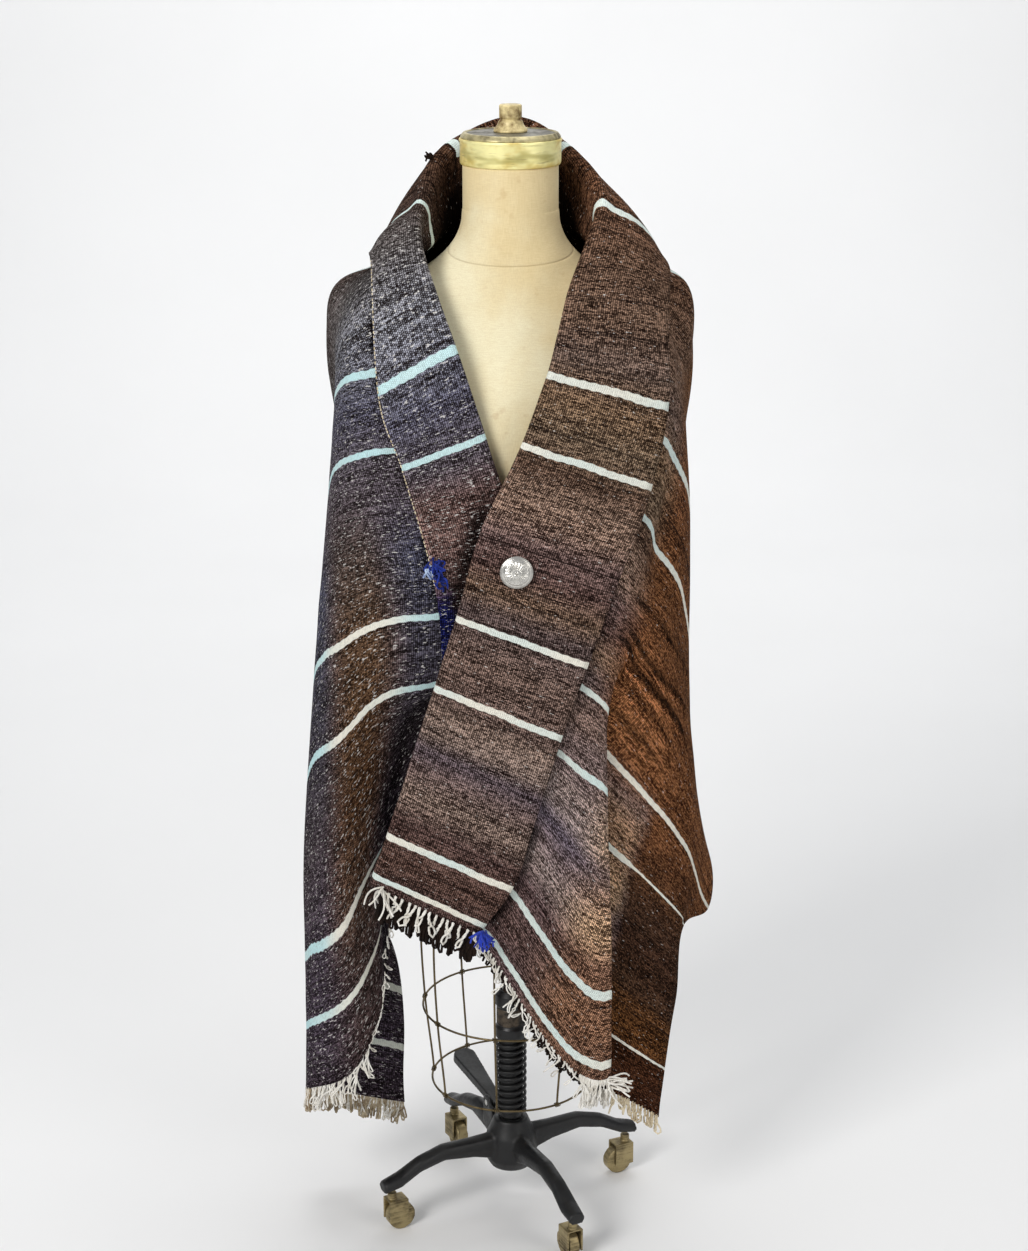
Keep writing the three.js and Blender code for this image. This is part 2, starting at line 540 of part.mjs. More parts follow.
function column() {
  const poleTop = TORSO_BOTTOM - SEAM;
  add('pole', turned([[0, POLE.bottom], [POLE.radius, POLE.bottom], [POLE.radius, poleTop], [0, poleTop]],
    FACETS.column), 'steel');
  const clampTop = COLLAR_CLAMP.top;
  const chamfer = 5;
  const tubeTop = COLLAR_CLAMP.bottom - SEAM;
  add('column_tube', ringSolid(TUBE.inner, TUBE.outer, TUBE.bottom, tubeTop, FACETS.column), 'iron');
  add('column_collar', turned([[TUBE.inner, COLLAR_CLAMP.bottom], [COLLAR_CLAMP.radius, COLLAR_CLAMP.bottom],
    [COLLAR_CLAMP.radius, clampTop - chamfer], [COLLAR_CLAMP.radius - chamfer, clampTop],
    [TUBE.inner, clampTop], [TUBE.inner, COLLAR_CLAMP.bottom]], FACETS.column), 'iron');
  add('column_spring', ringSolid(SPRING.inner, SPRING.outer, SPRING.bottom, SPRING.top, FACETS.column), 'iron');
}

// One arched leg: distance from the axis, middle height, half width and half height of each section.
const LEG_SECTIONS = [
  { reach: 24, z: 84, half: 14, tall: 20 },
  { reach: 56, z: 88, half: 12, tall: 14 },
  { reach: 98, z: 91, half: 11, tall: 11 },
  { reach: 132, z: 82, half: 11, tall: 10 },
  { reach: 160, z: 67, half: 13, tall: 9 },
  { reach: 183, z: 61, half: 11, tall: 8 },
];
const LEG_CORNERS = [[0, 1], [0.75, 0.7], [1, 0], [0.75, -0.8], [0, -1], [-0.75, -0.8], [-1, 0], [-0.75, 0.7]];

function leg(angle) {
  const outward = new THREE.Vector3(Math.cos(angle), Math.sin(angle), 0);
  const sideways = new THREE.Vector3(-Math.sin(angle), Math.cos(angle), 0);
  return loft(LEG_SECTIONS.map((section) => LEG_CORNERS.map(([across, up]) => (
    outward.clone().multiplyScalar(section.reach)
      .addScaledVector(sideways, across * section.half)
      .add(new THREE.Vector3(0, 0, section.z + up * section.tall))))));
}

function legAngle(k) {
  return THREE.MathUtils.degToRad(LEG.first + (360 * k) / LEG.count);
}

// The pedal's own frame: x along the arm, y along its hinge pin, origin on the pin.
function pedalFrame(rise) {
  const heading = THREE.MathUtils.degToRad(PEDAL.heading);
  const place = new THREE.Matrix4().makeTranslation(
    PEDAL.pivot * Math.cos(heading), PEDAL.pivot * Math.sin(heading), PEDAL.height);
  const turn = new THREE.Matrix4().makeRotationZ(heading);
  return place.multiply(turn).multiply(new THREE.Matrix4().makeRotationY(-THREE.MathUtils.degToRad(rise)));
}

// A disc across the hinge pin, from one side to the other.
function acrossPin(radius, from, to) {
  const disc = new THREE.CylinderGeometry(radius, radius, to - from, FACETS.pin);
  return disc.translate(0, (from + to) / 2, 0);
}

function lug(side) {
  const near = PEDAL.width / 2 + SEAM;
  const ends = side > 0 ? [near, near + LUG.width] : [-near - LUG.width, -near];
  const cheek = acrossPin(LUG.radius, ends[0], ends[1]);
  const web = new THREE.BoxGeometry(LUG.web, LUG.width, LUG.drop);
  web.translate(LUG.radius - 1 - LUG.web / 2, (ends[0] + ends[1]) / 2, -LUG.drop / 2);
  return [cheek, web].map((piece) => piece.applyMatrix4(pedalFrame(0)));
}

function base() {
  const hub = turned([[TUBE.inner, HUB.bottom], [HUB.radius - 4, HUB.bottom], [HUB.radius + 4, HUB.bottom + 14],
    [HUB.radius + 2, HUB.top - 24], [HUB.radius - 6, HUB.top - 6], [HUB.radius - 8, HUB.top],
    [TUBE.inner, HUB.top], [TUBE.inner, HUB.bottom]], FACETS.hub);
  const legs = Array.from({ length: LEG.count }, (_, k) => leg(legAngle(k)));
  const reach = PEDAL.width / 2 + LUG.width + SEAM;
  const pinHole = acrossPin(LUG.bore, -2 * reach, 2 * reach).applyMatrix4(pedalFrame(0));
  const bore = new THREE.CylinderGeometry(TUBE.inner, TUBE.inner, 2 * HUB.top, FACETS.hub).rotateX(Math.PI / 2);
  bore.translate(0, 0, HUB.top);
  const body = [hub, ...legs, ...lug(-1), ...lug(1)].map(solidOf).reduce((sum, next) => sum.add(next));
  add('base_casting', geometryOf(body.subtract(solidOf(bore)).subtract(solidOf(pinHole))), 'iron');
  add('pedal_pin', acrossPin(LUG.pin, -reach, reach).applyMatrix4(pedalFrame(0)), 'steel');
}

function caster(k) {
  const angle = legAngle(k);
  const post = [LEG.reach * Math.cos(angle), LEG.reach * Math.sin(angle)];
  const half = CASTER.width / 2 + FORK.gap;
  const outer = half + FORK.cheek;
  const low = CASTER.radius - 6;
  const shape = new THREE.Shape([[-outer, low], [-half, low], [-half, FORK.top - FORK.plate],
    [half, FORK.top - FORK.plate], [half, low], [outer, low], [outer, FORK.top], [-outer, FORK.top]]
    .map(([x, y]) => new THREE.Vector2(x, y)));
  const depth = FORK.depth + CASTER.trail;
  const yoke = new THREE.ExtrudeGeometry(shape, { depth, steps: 1, bevelEnabled: false });
  yoke.rotateX(Math.PI / 2).translate(0, FORK.depth / 2, 0);
  const pin = new THREE.CylinderGeometry(CASTER.pin, CASTER.pin, 2 * outer, FACETS.fork);
  pin.rotateZ(Math.PI / 2).translate(0, -CASTER.trail, CASTER.radius);
  const stem = turned([[0, FORK.top - 1], [STEM.radius, FORK.top - 1], [STEM.radius, STEM.top], [0, STEM.top]],
    FACETS.fork);
  const fork = joined([yoke, pin, stem]).rotateZ(angle - Math.PI / 2).translate(post[0], post[1], 0);
  add(`caster_fork_${k + 1}`, fork, 'brass');
  const flat = CASTER.radius / Math.cos(Math.PI / CASTER.facets);
  const disc = ringSolid(CASTER.bore, flat, -CASTER.width / 2, CASTER.width / 2, CASTER.facets);
  disc.rotateZ(Math.PI / CASTER.facets).rotateY(Math.PI / 2).translate(0, -CASTER.trail, CASTER.radius);
  disc.rotateZ(angle - Math.PI / 2).translate(post[0], post[1], 0);
  add(`caster_wheel_${k + 1}`, disc, 'brass');
}

// The foot pedal: a flat arm from its pin beside the hub to a round foot pad.
function pedal() {
  const half = PEDAL.width / 2;
  const arm = new THREE.Shape();
  arm.moveTo(-LUG.radius, -half);
  arm.lineTo(2 * LUG.radius, -half);
  arm.absarc(PEDAL.length, 0, PEDAL.pad, -Math.PI / 2, Math.PI / 2, false);
  arm.lineTo(2 * LUG.radius, half);
  arm.lineTo(-LUG.radius, half);
  arm.closePath();
  const bar = new THREE.ExtrudeGeometry(arm, { depth: PEDAL.thickness, bevelEnabled: false, curveSegments: 8 });
  bar.translate(0, 0, -PEDAL.thickness / 2);
  const hole = acrossPin(LUG.bore, -2 * half, 2 * half);
  const solid = geometryOf(solidOf(bar).subtract(solidOf(hole)));
  add('foot_pedal', solid.applyMatrix4(pedalFrame(PEDAL.rise)), 'iron');
}

// ---- the button and the yarn ----
function button() {
  const { radius, dome, rim, shank } = CONCHO;
  const face = turned([[0, 0], [radius, 0], [radius, rim], [radius * 0.86, rim + dome * 0.35],
    [radius * 0.55, rim + dome * 0.8], [radius * 0.22, rim + dome], [0, rim + dome]], FACETS.button);
  const stem = turned([[0, -shank], [4, -shank], [4, 1], [0, 1]], FACETS.stem);
  const concho = joined([face, stem]).rotateX(Math.PI / 2);
  add('button', concho.translate(...CONCHO.at), 'silver');
}

function tassel() {
  const { radius, length } = TASSEL;
  const knot = turned([[0, -length], [radius * 0.7, 2 - length], [radius, -length / 2],
    [radius * 0.6, -2], [0, 0]], FACETS.stem);
  add('corner_tassel', knot.translate(...TASSEL.at), 'yarn');
}

blanketBody();
band('lapel_right', ENDS.right, RIGHT_NECK);
band('collar', RIGHT_NECK, LEFT_NECK);
band('lapel_left', LEFT_NECK, BAND_END);
fringes();
button();
tassel();
form();
cage();
column();
base();
pedal();
for (let k = 0; k < LEG.count; k += 1) caster(k);

export default model;
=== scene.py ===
"""A striped, fringed wool blanket worn as a shawl on a limbless dress form with a wheeled stand.

Metres, +Z up, the front faces -Y. The tables are in millimetres, as in the part's source.
"""
import math

import bmesh
import bpy
import numpy as np
from mathutils import Matrix, Vector


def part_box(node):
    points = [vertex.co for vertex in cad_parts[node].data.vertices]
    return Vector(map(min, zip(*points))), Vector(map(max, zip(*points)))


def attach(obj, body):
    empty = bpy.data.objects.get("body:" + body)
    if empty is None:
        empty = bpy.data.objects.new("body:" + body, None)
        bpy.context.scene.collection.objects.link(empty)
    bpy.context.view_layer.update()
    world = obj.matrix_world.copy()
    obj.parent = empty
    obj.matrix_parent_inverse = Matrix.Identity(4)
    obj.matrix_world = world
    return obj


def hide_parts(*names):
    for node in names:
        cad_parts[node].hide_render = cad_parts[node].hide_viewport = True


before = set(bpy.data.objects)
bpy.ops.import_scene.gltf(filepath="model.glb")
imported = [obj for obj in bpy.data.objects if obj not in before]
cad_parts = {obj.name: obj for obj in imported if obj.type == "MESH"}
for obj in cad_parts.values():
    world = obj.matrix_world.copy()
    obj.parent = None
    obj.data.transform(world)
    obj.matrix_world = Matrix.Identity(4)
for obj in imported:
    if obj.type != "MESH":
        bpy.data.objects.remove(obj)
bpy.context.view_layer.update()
scene = bpy.context.scene
MM = 0.001


def table(columns, rows):
    """A table's rows, each a dictionary by column name; a row may stop short."""
    return [dict(zip(columns.split(), row)) for row in rows]


# ---- driving sizes, in millimetres unless the name says otherwise ----
CLOTH = 3.0  # thickness of the wool
RETURN = 20  # how far the folded band runs back under itself
BODY_START = 6  # how far beyond that the body's first column starts
ENDS = (0, 2120)
END_SAG = {"depth": 60, "span": 300}  # how the right end hangs between band and ridge
BAND_END = 1790
ROW_STEP = 6.5
CREASE_ROWS = range(392, 540, 2)  # closer rows where the drag creases are
COLUMNS_BETWEEN_RAILS = (10, 14, 10, 10, 14, 14)
BAND_COLUMNS = 27
YARN = 1.15  # radius of a fringe yarn
LAPEL_CREASE_SHADE = 0.468  # where a thin line of painted crease shade crosses the right lapel, in metres along the warp
RIB = 0.0025  # pitch of the warp ribs, in metres
PICK = 0.0016  # pitch of the beaten-in weft, in metres
STRIPE_BEAT = 0.013  # pitch of the stripes' scalloped edges, in metres
DARK_YARN = (0.09, 0.06, 0.05)  # the darkest and the brightest yarn, times the wool's own colour
BRIGHT_YARN = (5.4, 6.2, 7.2)

CAMERA = {"place": (0.004, -3.0, 1.70), "pitch": 17.0, "lens": 74.0}

# One row for each weft line of the blanket, from its right end to its left end: where it leaves the
# fold, runs under the band, forms the front ridge, is tucked, comes out, creases at the side and ends.
RAILS = ("fold", "under", "ridge", "tuck", "emerge", "crease", "hem")
SECTIONS = table("warp " + " ".join(RAILS), [
    (0, (-162, -148, 505), (-36, -150, 430), (122, -132, 240), (90, -122, 226), (123, -111, 211),
     (177, -86, 168), (186, -78, 158)),
    (75, (-140, -150, 569), (-1, -152, 499), (122, -134, 353), (88, -124, 330), (123, -112, 290),
     (183, -88, 237), (192, -78, 226)),
    (170, (-111, -150, 661), (29, -153, 585), (119, -136, 480), (80, -125, 452), (120, -113, 418),
     (198, -80, 336), (205, -68, 322)),
    (275, (-82, -150, 753), (58, -152, 672), (114, -136, 614), (68, -125, 578), (116, -113, 541),
     (209, -74, 432), (214, -56, 412)),
    (363, (-56, -148, 837), (86, -150, 752), (114, -138, 718), (82, -127, 690), (116, -117, 657),
     (211, -68, 524), (248, -5, 412)),
    (470, (-28, -146, 938), (120, -144, 850), (144, -132, 826), (160, -120, 800), (178, -106, 770),
     (217, -44, 640), (248, 50, 480)),
    (578, (19, -138, 1038), (158, -121, 946), (168, -106, 910), (190, -87, 876), (204, -66, 838), (217, 5, 735),
     (200, 128, 590)),
    (661, (48, -122, 1115), (175, -97, 1038), (187, -82, 1016), (200, -60, 988), (210, -34, 955),
     (214, 45, 875), (168, 143, 700)),
    (760, (70, -95, 1195), (176, -57, 1153), (193, -38, 1122), (203, -16, 1092), (207, 10, 1050),
     (207, 65, 980), (135, 146, 775)),
    (870, (98, -12, 1276), (94, -6, 1248), (155, 4, 1226), (203, 13, 1203), (209, 27, 1156), (207, 68, 1065),
     (108, 146, 820)),
    (965, (57, 70, 1340), (57, 65, 1266), (98, 87, 1219), (124, 105, 1178), (140, 119, 1128), (143, 131, 1042),
     (66, 148, 848)),
    (1035, (2, 88, 1369), (2, 79, 1268), (2, 100, 1219), (2, 113, 1170), (2, 122, 1113), (2, 131, 1022),
     (2, 144, 845)),
    (1100, (-62, 68, 1341), (-59, 64, 1266), (-97, 87, 1219), (-124, 105, 1178), (-140, 119, 1128),
     (-144, 131, 1042), (-72, 148, 848)),
    (1200, (-96, -8, 1276), (-92, -6, 1248), (-149, 4, 1224), (-200, 12, 1202), (-212, 25, 1156),
     (-207, 66, 1062), (-122, 146, 815)),
    (1310, (-106, -50, 1238), (-148, -46, 1218), (-184, -38, 1188), (-202, -21, 1147), (-206, 4, 1100),
     (-208, 60, 1010), (-150, 146, 775)),
    (1390, (-66, -106, 1140), (-158, -84, 1113), (-188, -65, 1101), (-202, -40, 1082), (-208, -8, 1056),
     (-211, 52, 975), (-168, 143, 745)),
    (1490, (-34, -123, 1045), (-136, -106, 1027), (-175, -90, 1016), (-200, -60, 998), (-214, -18, 968),
     (-221, 48, 885), (-196, 132, 665)),
    (1705, (12, -125, 852), (-82, -122, 833), (-148, -114, 821), (-202, -84, 784), (-234, -22, 738),
     (-245, 47, 660), (-238, 102, 520)),
    (1790, (2, -124, 780), (-86, -117, 748), (-150, -112, 729), (-204, -92, 670), (-241, -26, 618),
     (-254, 36, 548), (-226, 86, 432)),
    (1880, (-45, -120, 735), (-114, -92, 690), (-158, -98, 632), (-205, -97, 562), (-249, -30, 488),
     (-256, 34, 428), (-161, 72, 345)),
    (1960, (-104, -102, 624), (-150, -64, 534), (-173, -90, 498), (-206, -102, 426), (-252, -34, 364),
     (-253, 34, 318), (-142, 54, 270)),
    (2045, (-128, -72, 545), (-156, -46, 448), (-168, -62, 384), (-200, -88, 326), (-253, -38, 268),
     (-252, 34, 230), (-141, 53, 190)),
    (2120, (-142, -30, 462), (-156, -46, 380), (-165, -58, 284), (-200, -88, 224), (-254, -46, 182),
     (-253, 30, 144), (-141, 52, 112)),
])

# The folded-out band: its free selvedge, the radius of its roll and its swell at each weft line.
BAND = table("warp edge roll swell", [
    (0, (-37, -163, 444), 5.5, 0), (75, (2, -165, 505), 5.5, 2), (170, (31, -166, 598), 5.5, 2),
    (275, (60, -165, 695), 5.5, 2), (363, (90, -163, 784), 5.5, 2), (470, (126, -158, 888), 5.5, 2),
    (578, (162, -140, 991), 6, 3), (661, (180, -119, 1080), 7, 5), (760, (181, -72, 1182), 9, 8),
    (870, (178, 10, 1232), 13, 12), (965, (112, 120, 1234), 9, 6), (1035, (2, 150, 1240), 10, 6),
    (1100, (-117, 118, 1238), 10, 6), (1200, (-159, 8, 1232), 12.5, 9), (1310, (-160, -47, 1224), 9, 7),
    (1390, (-152, -102, 1094), 6, 4), (1490, (-125, -121, 1009), 5, 2), (1705, (-84, -134, 845), 4.5, 0),
    (1790, (-79, -132, 775), 4.5, 0),
])

# The form: height, half width, front depth and back depth of each level.
TORSO = table("z half front back", [
    (556, 164, 104, 104), (575, 170, 110, 112), (680, 172, 112, 120), (770, 150, 102, 104),
    (860, 122, 92, 80), (930, 130, 104, 82), (1010, 152, 116, 92), (1080, 168, 108, 100),
    (1140, 184, 84, 98), (1176, 186, 70, 84), (1196, 160, 64, 74), (1214, 116, 60.5, 68),
    (1228, 92, 58.8, 62), (1242, 76, 57.8, 58.6), (1258, 64, 57.2, 57.4), (1274, 58.0, 56.6, 56.6),
    (1290, 56.0, 55.6, 55.6),
])
FLARE_LEVELS = 6  # how many of the top levels flare up into the neck
TORSO_MESH = {"sides": 192, "body": 120, "flare": 91}  # points round it, and levels below and in the flare
# The neck's seam: its height in front, its rise from there to the side, its half width and its depth.
NECKLINE = {"front": 1231, "rise": 16, "half": 0.9, "depth": 0.75}
SEAM_ANGLES = (90, 62, 118, 2, 178)  # upright seams of the torso, in degrees
SEAM_HALF = 2.2  # half width of an upright seam
# The concho's relief as shares of its depth, and the fineness of its mesh.
CONCHO = {"foot": 0.22, "dome": 0.70, "ray": 0.05, "petal": 0.05, "rope": 0.045, "ring": 0.06,
          "rings": 40, "spokes": 144}

# The wire cage: its levels, of which the last two have hoops.
CAGE_LEVELS = table("z radius", [(554, 100), (420, 116), (280, 112), (178, 101)])
CAGE_RIBS = 8
CAGE_FIRST = -100  # where the first rib stands, in degrees
CAGE_WIRE = 1.35
CAGE_BINDING = 0.6
# The coil spring, in metres but for its turns.
SPRING = {"wire": 0.0021, "inset": 0.0022, "turns": 11}
CASTERS = 4

# Woven stripes: their place along the warp and their half width; some show only before or only after
# a distance from the fold.
STRIPES = table("warp half before after", [
    (15, 3.5, 436), (75, 4.1), (275, 3.9), (363, 3.6), (578, 3.6), (661, 4.2), (870, 4.1), (965, 4.1, 6),
    (1100, 4.1, 6), (1200, 3.9), (1390, 4.0), (1490, 3.9), (1705, 3.8, None, 40), (1790, 4.0, None, 40),
    (1960, 5.0), (2045, 4.5),
])
STRIPE_FADE = 4  # how far a stripe takes to stop at such a distance
NO_STRIPE = 9.0  # a distance from the stripes, in half widths, that shows none

# Drag creases of the right side: place along the warp, how far that rises, ends across the cloth, depth.
CREASES = table("warp rise start end depth", [
    (402, 1, 235, 372, 2.2), (424, 8, 230, 380, 1.2), (442, 18, 185, 405, 3.8), (457, 30, 195, 400, 3.0),
    (500, 34, 200, 400, 1.8),
])
CREASE_FADE = {"outside": 12, "inside": 25}  # how far a crease takes to end
CREASE_RISE = (280, 400)  # where across the cloth a crease rises
GROOVE = 3.0  # half width of a crease, and the ridge beside it: how far, how wide and how high
RIDGE = {"place": 8, "half": 4, "height": 0.6}
# The creases' tone is painted shade in each crease and painted highlight on the ridge beside it.
CREASE_TONE = {"depth": 2.6, "lightest": -0.6, "strength": 0.8}  # how the creases shade the wool

# Abrash: the wool's own colour (sRGB) along the warp, from batch to batch of yarn.
ABRASH = table("warp colour", [
    (0, (66, 48, 42)), (45, (76, 54, 44)), (100, (72, 52, 45)), (135, (112, 90, 76)), (165, (92, 72, 64)),
    (192, (76, 62, 62)), (214, (104, 84, 72)), (248, (108, 86, 72)), (265, (88, 68, 58)),
    (320, (96, 74, 62)), (380, (76, 60, 54)), (408, (98, 74, 57)), (440, (80, 58, 50)), (475, (92, 70, 62)),
    (505, (118, 91, 74)), (535, (104, 80, 64)), (560, (82, 60, 46)), (600, (94, 74, 56)),
    (640, (101, 76, 55)), (690, (90, 70, 58)), (735, (94, 70, 54)), (790, (90, 66, 50)), (900, (80, 52, 35)),
    (1035, (64, 40, 26)), (1130, (58, 38, 26)), (1200, (60, 45, 37)), (1300, (76, 68, 63)),
    (1350, (88, 83, 82)), (1430, (66, 61, 67)), (1490, (70, 61, 62)), (1560, (66, 54, 53)),
    (1640, (66, 48, 42)), (1750, (63, 40, 27)), (1860, (60, 36, 22)), (1960, (60, 39, 31)),
    (2045, (53, 37, 35)), (2120, (48, 32, 28)),
])
# The warmer wool of the right side, away from the front, from its lower end up.
SIDE_ABRASH = table("warp colour", [
    (0, (50, 26, 13)), (74, (54, 29, 14)), (84, (74, 44, 20)), (124, (68, 40, 18)), (136, (46, 27, 14)),
    (230, (46, 27, 15)), (270, (62, 37, 20)), (330, (84, 50, 27)), (400, (96, 58, 32)), (560, (82, 49, 26)),
    (660, (84, 50, 29)), (760, (90, 58, 36)),
])
# The left front's warm middle and cooler sides, from its waist down.
LEFT_WARM = table("warp colour", [
    (1500, (70, 62, 62)), (1600, (68, 55, 48)), (1700, (68, 48, 33)), (1780, (70, 48, 31)),
    (1880, (62, 40, 24)), (1960, (70, 50, 38)), (2045, (60, 45, 40)), (2120, (54, 40, 36)),
])
LEFT_COOL = table("warp colour", [
    (1500, (64, 58, 62)), (1620, (56, 53, 60)), (1760, (52, 46, 49)), (1880, (52, 42, 42)),
    (1960, (54, 44, 47)), (2045, (54, 44, 48)), (2120, (48, 38, 40)),
])
LEFT_BAND = (84, 62, 54)
INDIGO = (16, 19, 56)
GREY_PART = np.array([-0.02, 0.05, 0.18])  # how much the red, green and blue gain
GOLD_PART = np.array([0.50, 0.36, 0.02])
# Where the right lapel lies over the left band, and where the painted shadow that it casts on the band begins: a
# slanting line through this place of the band.
LAP_LINE = {"warp": 1618, "across": -76, "slope": -0.42}

# Zones of the cloth: how strongly each acts, and where it fades in and out, along the warp and then
# across it from the fold. Lap shadow measures across from the band's reach, and left selvedge and
# indigo from the band's free edge.
ZONES = {row["name"]: row for row in table("name strength start stop near far", [
    ("left", 1, (1500, 1640), None, None, None),
    ("left middle", 1, None, None, (120, 185), (215, 300)),
    ("left band", 1, (1500, 1560), (1700, 1720), None, (-4, 4)),
    ("grey", 1, None, (300, 330), (60, 90), (230, 300)),
    ("gold", 1, None, (300, 350), (210, 300), (405, 420)),
    ("right side", 1, (330, 380), None, (175, 240), None),
    ("right outside", 1, None, None, (405, 425), None),
    ("below shoulder", 0.95, None, (820, 900), None, None),
    ("lapel", 0.15, None, (900, 1000), None, (-2, 2)),
    ("front panel", 0.2, None, (380, 480), (150, 190), (400, 415)),
    # painted shade inside the collar, next to the neck
    ("collar inside", 0.5, (850, 900), (1300, 1340), (2, 14), (90, 130)),
    # painted shade in the hollow of the lower left front
    ("left hollow", 0.62, (1800, 1880), None, (0, 20), (100, 150)),
    # painted shadow that the right lapel casts on the left band
    ("lee of lapel", 0.85, (1540, 1590), (1730, 1760), None, (0, 10)),
    # painted shadow on the body beside the folded band's free edge
    ("under band", 0.88, None, (1700, 1720), (20, 40), None),
    ("lap shadow", 1, None, None, None, (2, 8)),
    ("left selvedge", 0.8, (1250, 1300), (1680, 1690), None, (1.5, 5)),
    # painted highlight along the right lapel's rolled fold
    ("lapel fold", 0.35, None, (640, 700), (-10, -4), (8, 14)),
    ("indigo", 0.9, (1655, 1710), (1795, 1805), None, (8, 22)),
    ("thin outside", 0.55, None, (320, 340), (405, 425), None),
    ("thin left", 0.62, (1900, 1950), None, None, (130, 235)),
    ("cream side", 0.9, (300, 370), (800, 900), (200, 300), None),
    ("cream ridge", 0.7, None, (300, 370), (330, 400), None),
    ("blue left", 0.5, (1150, 1300), None, None, None),
    ("cream left side", 0.7, (1850, 1900), None, (405, 430), None),
    ("cream lapel", 0.45, None, (800, 900), None, (-6, 0)),
    ("cream left front", 0.85, (1600, 1700), None, (118, 165), (250, 300)),
    ("wavy hem", 2.0, None, None, (430, 560), None),
    ("wavy band", 1.3, None, None, None, (-150, -90)),
])}

# Rows of fringe: the end of the cloth and the first and last rail that each runs along, its yarn, the
# seed of its draws, the pitch, reach and wildness of its loops, the CAD node it stands for, how far it is
# brought forward, its yarn's radius and how wide its loops open.
FRINGES = table("name end first last yarn seed pitch reach wild node lift radius open", [
    ("lapel_loops", "lapel", 0, 0, "fringe", 49, 7.4, 31, 1.15, "fringe_lapel", 2.6, 1.3, 5.0),
    ("lapel_dark_loops", "lapel", 0, 0, "dark_yarn", 50, 2.1, 40, 0.16, None, -1.5, 1.6, 2.4),
    ("right_front_dark", "right", 0.9, 1.97, "dark_yarn", 42, 2.3, 14, 0.5, None, -1.0, 1.4, 2.4),
    ("right_front_loops", "right", 0.92, 1.62, "fringe", 41, 6.0, 27, 1.8, "fringe_front_right", 1.5, 0.85, 2.4),
    ("right_front_bunch", "right", 1.60, 1.99, "fringe", 51, 1.7, 36, 0.5, None, 1.5, 0.9, 2.4),
    ("right_tuck_loops", "right", 2.1, 3.9, "fringe", 53, 3.4, 30, 0.6, None, 0, YARN, 2.4),
    ("right_outer_loops", "right", 4.0, 6.0, "fringe_warm", 43, 4.6, 25, 0.35, "fringe_outer_right", 0, YARN, 3.4),
    ("left_edge_loops", "left", 0.2, 2.5, "fringe", 45, 8.0, 16, 2.0, None, 2.0, 0.75, 2.4),
    ("left_front_loops", "left", 2.4, 3.97, "fringe", 46, 4.4, 34, 1.2, "fringe_front_left", 0, 0.9, 2.4),
    ("left_side_loops", "left", 4.03, 6.0, "fringe_old", 47, 2.7, 31, 0.3, "fringe_side_left", 0, YARN, 2.4),
    ("left_side_pale", "left", 4.03, 6.0, "fringe", 48, 7.0, 30, 0.5, None, 0, YARN, 2.4),
])
FRINGE_ENDS = {"right": (0, 6), "left": (2120, 2114)}  # each end's warp, and one a little way in from it

# Bunches of loose yarn ends: where from their anchor, how wide, how long and how many, the yarn, the seed
# of the draws, which way they point and how much they curl.
TUFTS = {row["name"]: row for row in table("name offset spread reach count yarn seed heading curl", [
    ("right_front_spray", (0, -3, -6), 5.0, 40, 12, "fringe", 57, (0.9, -0.35, 0.1), 0.3),
    ("lapel_corner_ends", (0, -2.5, 4), 2.2, 40, 7, "fringe", 58, (0.0, -0.15, -1), 0.3),
    ("blue_tassel", (0, 0, 0), 2.5, 24, 34, "yarn", 61, (0, -0.3, -1), 0.3),
    ("blue_tuft", (4, -2.5, 10), 5.0, 15, 26, "indigo", 63, (0.3, -0.1, -1), 1.0),
    ("blue_tuft_low", (8, -2.5, -6), 5.0, 14, 22, "indigo", 64, (0.2, -0.1, -1), 1.0),
    ("blue_tuft_pale", (1, -2.5, 3), 4.0, 12, 6, "fringe_aqua", 65, (0.1, -0.1, -1), 1.0),
    ("dark_tuft", (-1, -2, 2), 1.2, 11, 7, "dark_yarn", 65, (-1, -0.4, 0.3), 0.3),
])}
SPRAY_RAIL = 1.93  # the rail of the right end that its spray comes from
LAP_TUFT_WARP = 1646
DARK_TUFT_WARP = 1128
STITCHES = {"warps": (1290, 1676), "step": 1.5, "seed": 71, "radius": 0.75, "reach": (1.6, 3.4), "gap": (1.4, 4.5)}
LOOP_STEPS = 10
LOOP_REACH = (0.7, 1.08)  # the spread of the loops' reach, and of the steps between them
LOOP_PITCH = (0.55, 1.45)


# ---- small tools ----
def linear(colour):
    """A linear colour from an sRGB one of 0 to 255."""
    channels = np.array(colour, float) / 255
    return np.where(channels <= 0.04045, channels / 12.92, ((channels + 0.055) / 1.055) ** 2.4)


def shade(colour):
    return tuple(float(c) for c in linear(colour))


def spline(knots, values, places):
    """A smooth cubic through values at uneven knots."""
    knots = np.asarray(knots, float)
    values = np.asarray(values, float)
    places = np.atleast_1d(np.asarray(places, float))
    shape = (-1,) + (1,) * (values.ndim - 1)
    span = np.diff(knots).reshape(shape)
    rise = np.diff(values, axis=0) / span
    inner = (rise[:-1] * span[1:] + rise[1:] * span[:-1]) / (span[:-1] + span[1:])
    slope = np.concatenate([inner[:1], inner, inner[-1:]])
    index = np.clip(np.searchsorted(knots, places, side="right") - 1, 0, len(knots) - 2)
    width = span[index]
    f = ((places - knots[index]) / np.diff(knots)[index]).reshape(shape)
    return ((2 * f**3 - 3 * f**2 + 1) * values[index] + (f**3 - 2 * f**2 + f) * width * slope[index]
            + (3 * f**2 - 2 * f**3) * values[index + 1] + (f**3 - f**2) * width * slope[index + 1])


def unit(vectors):
    return vectors / np.maximum(np.linalg.norm(vectors, axis=-1, keepdims=True), 1e-9)


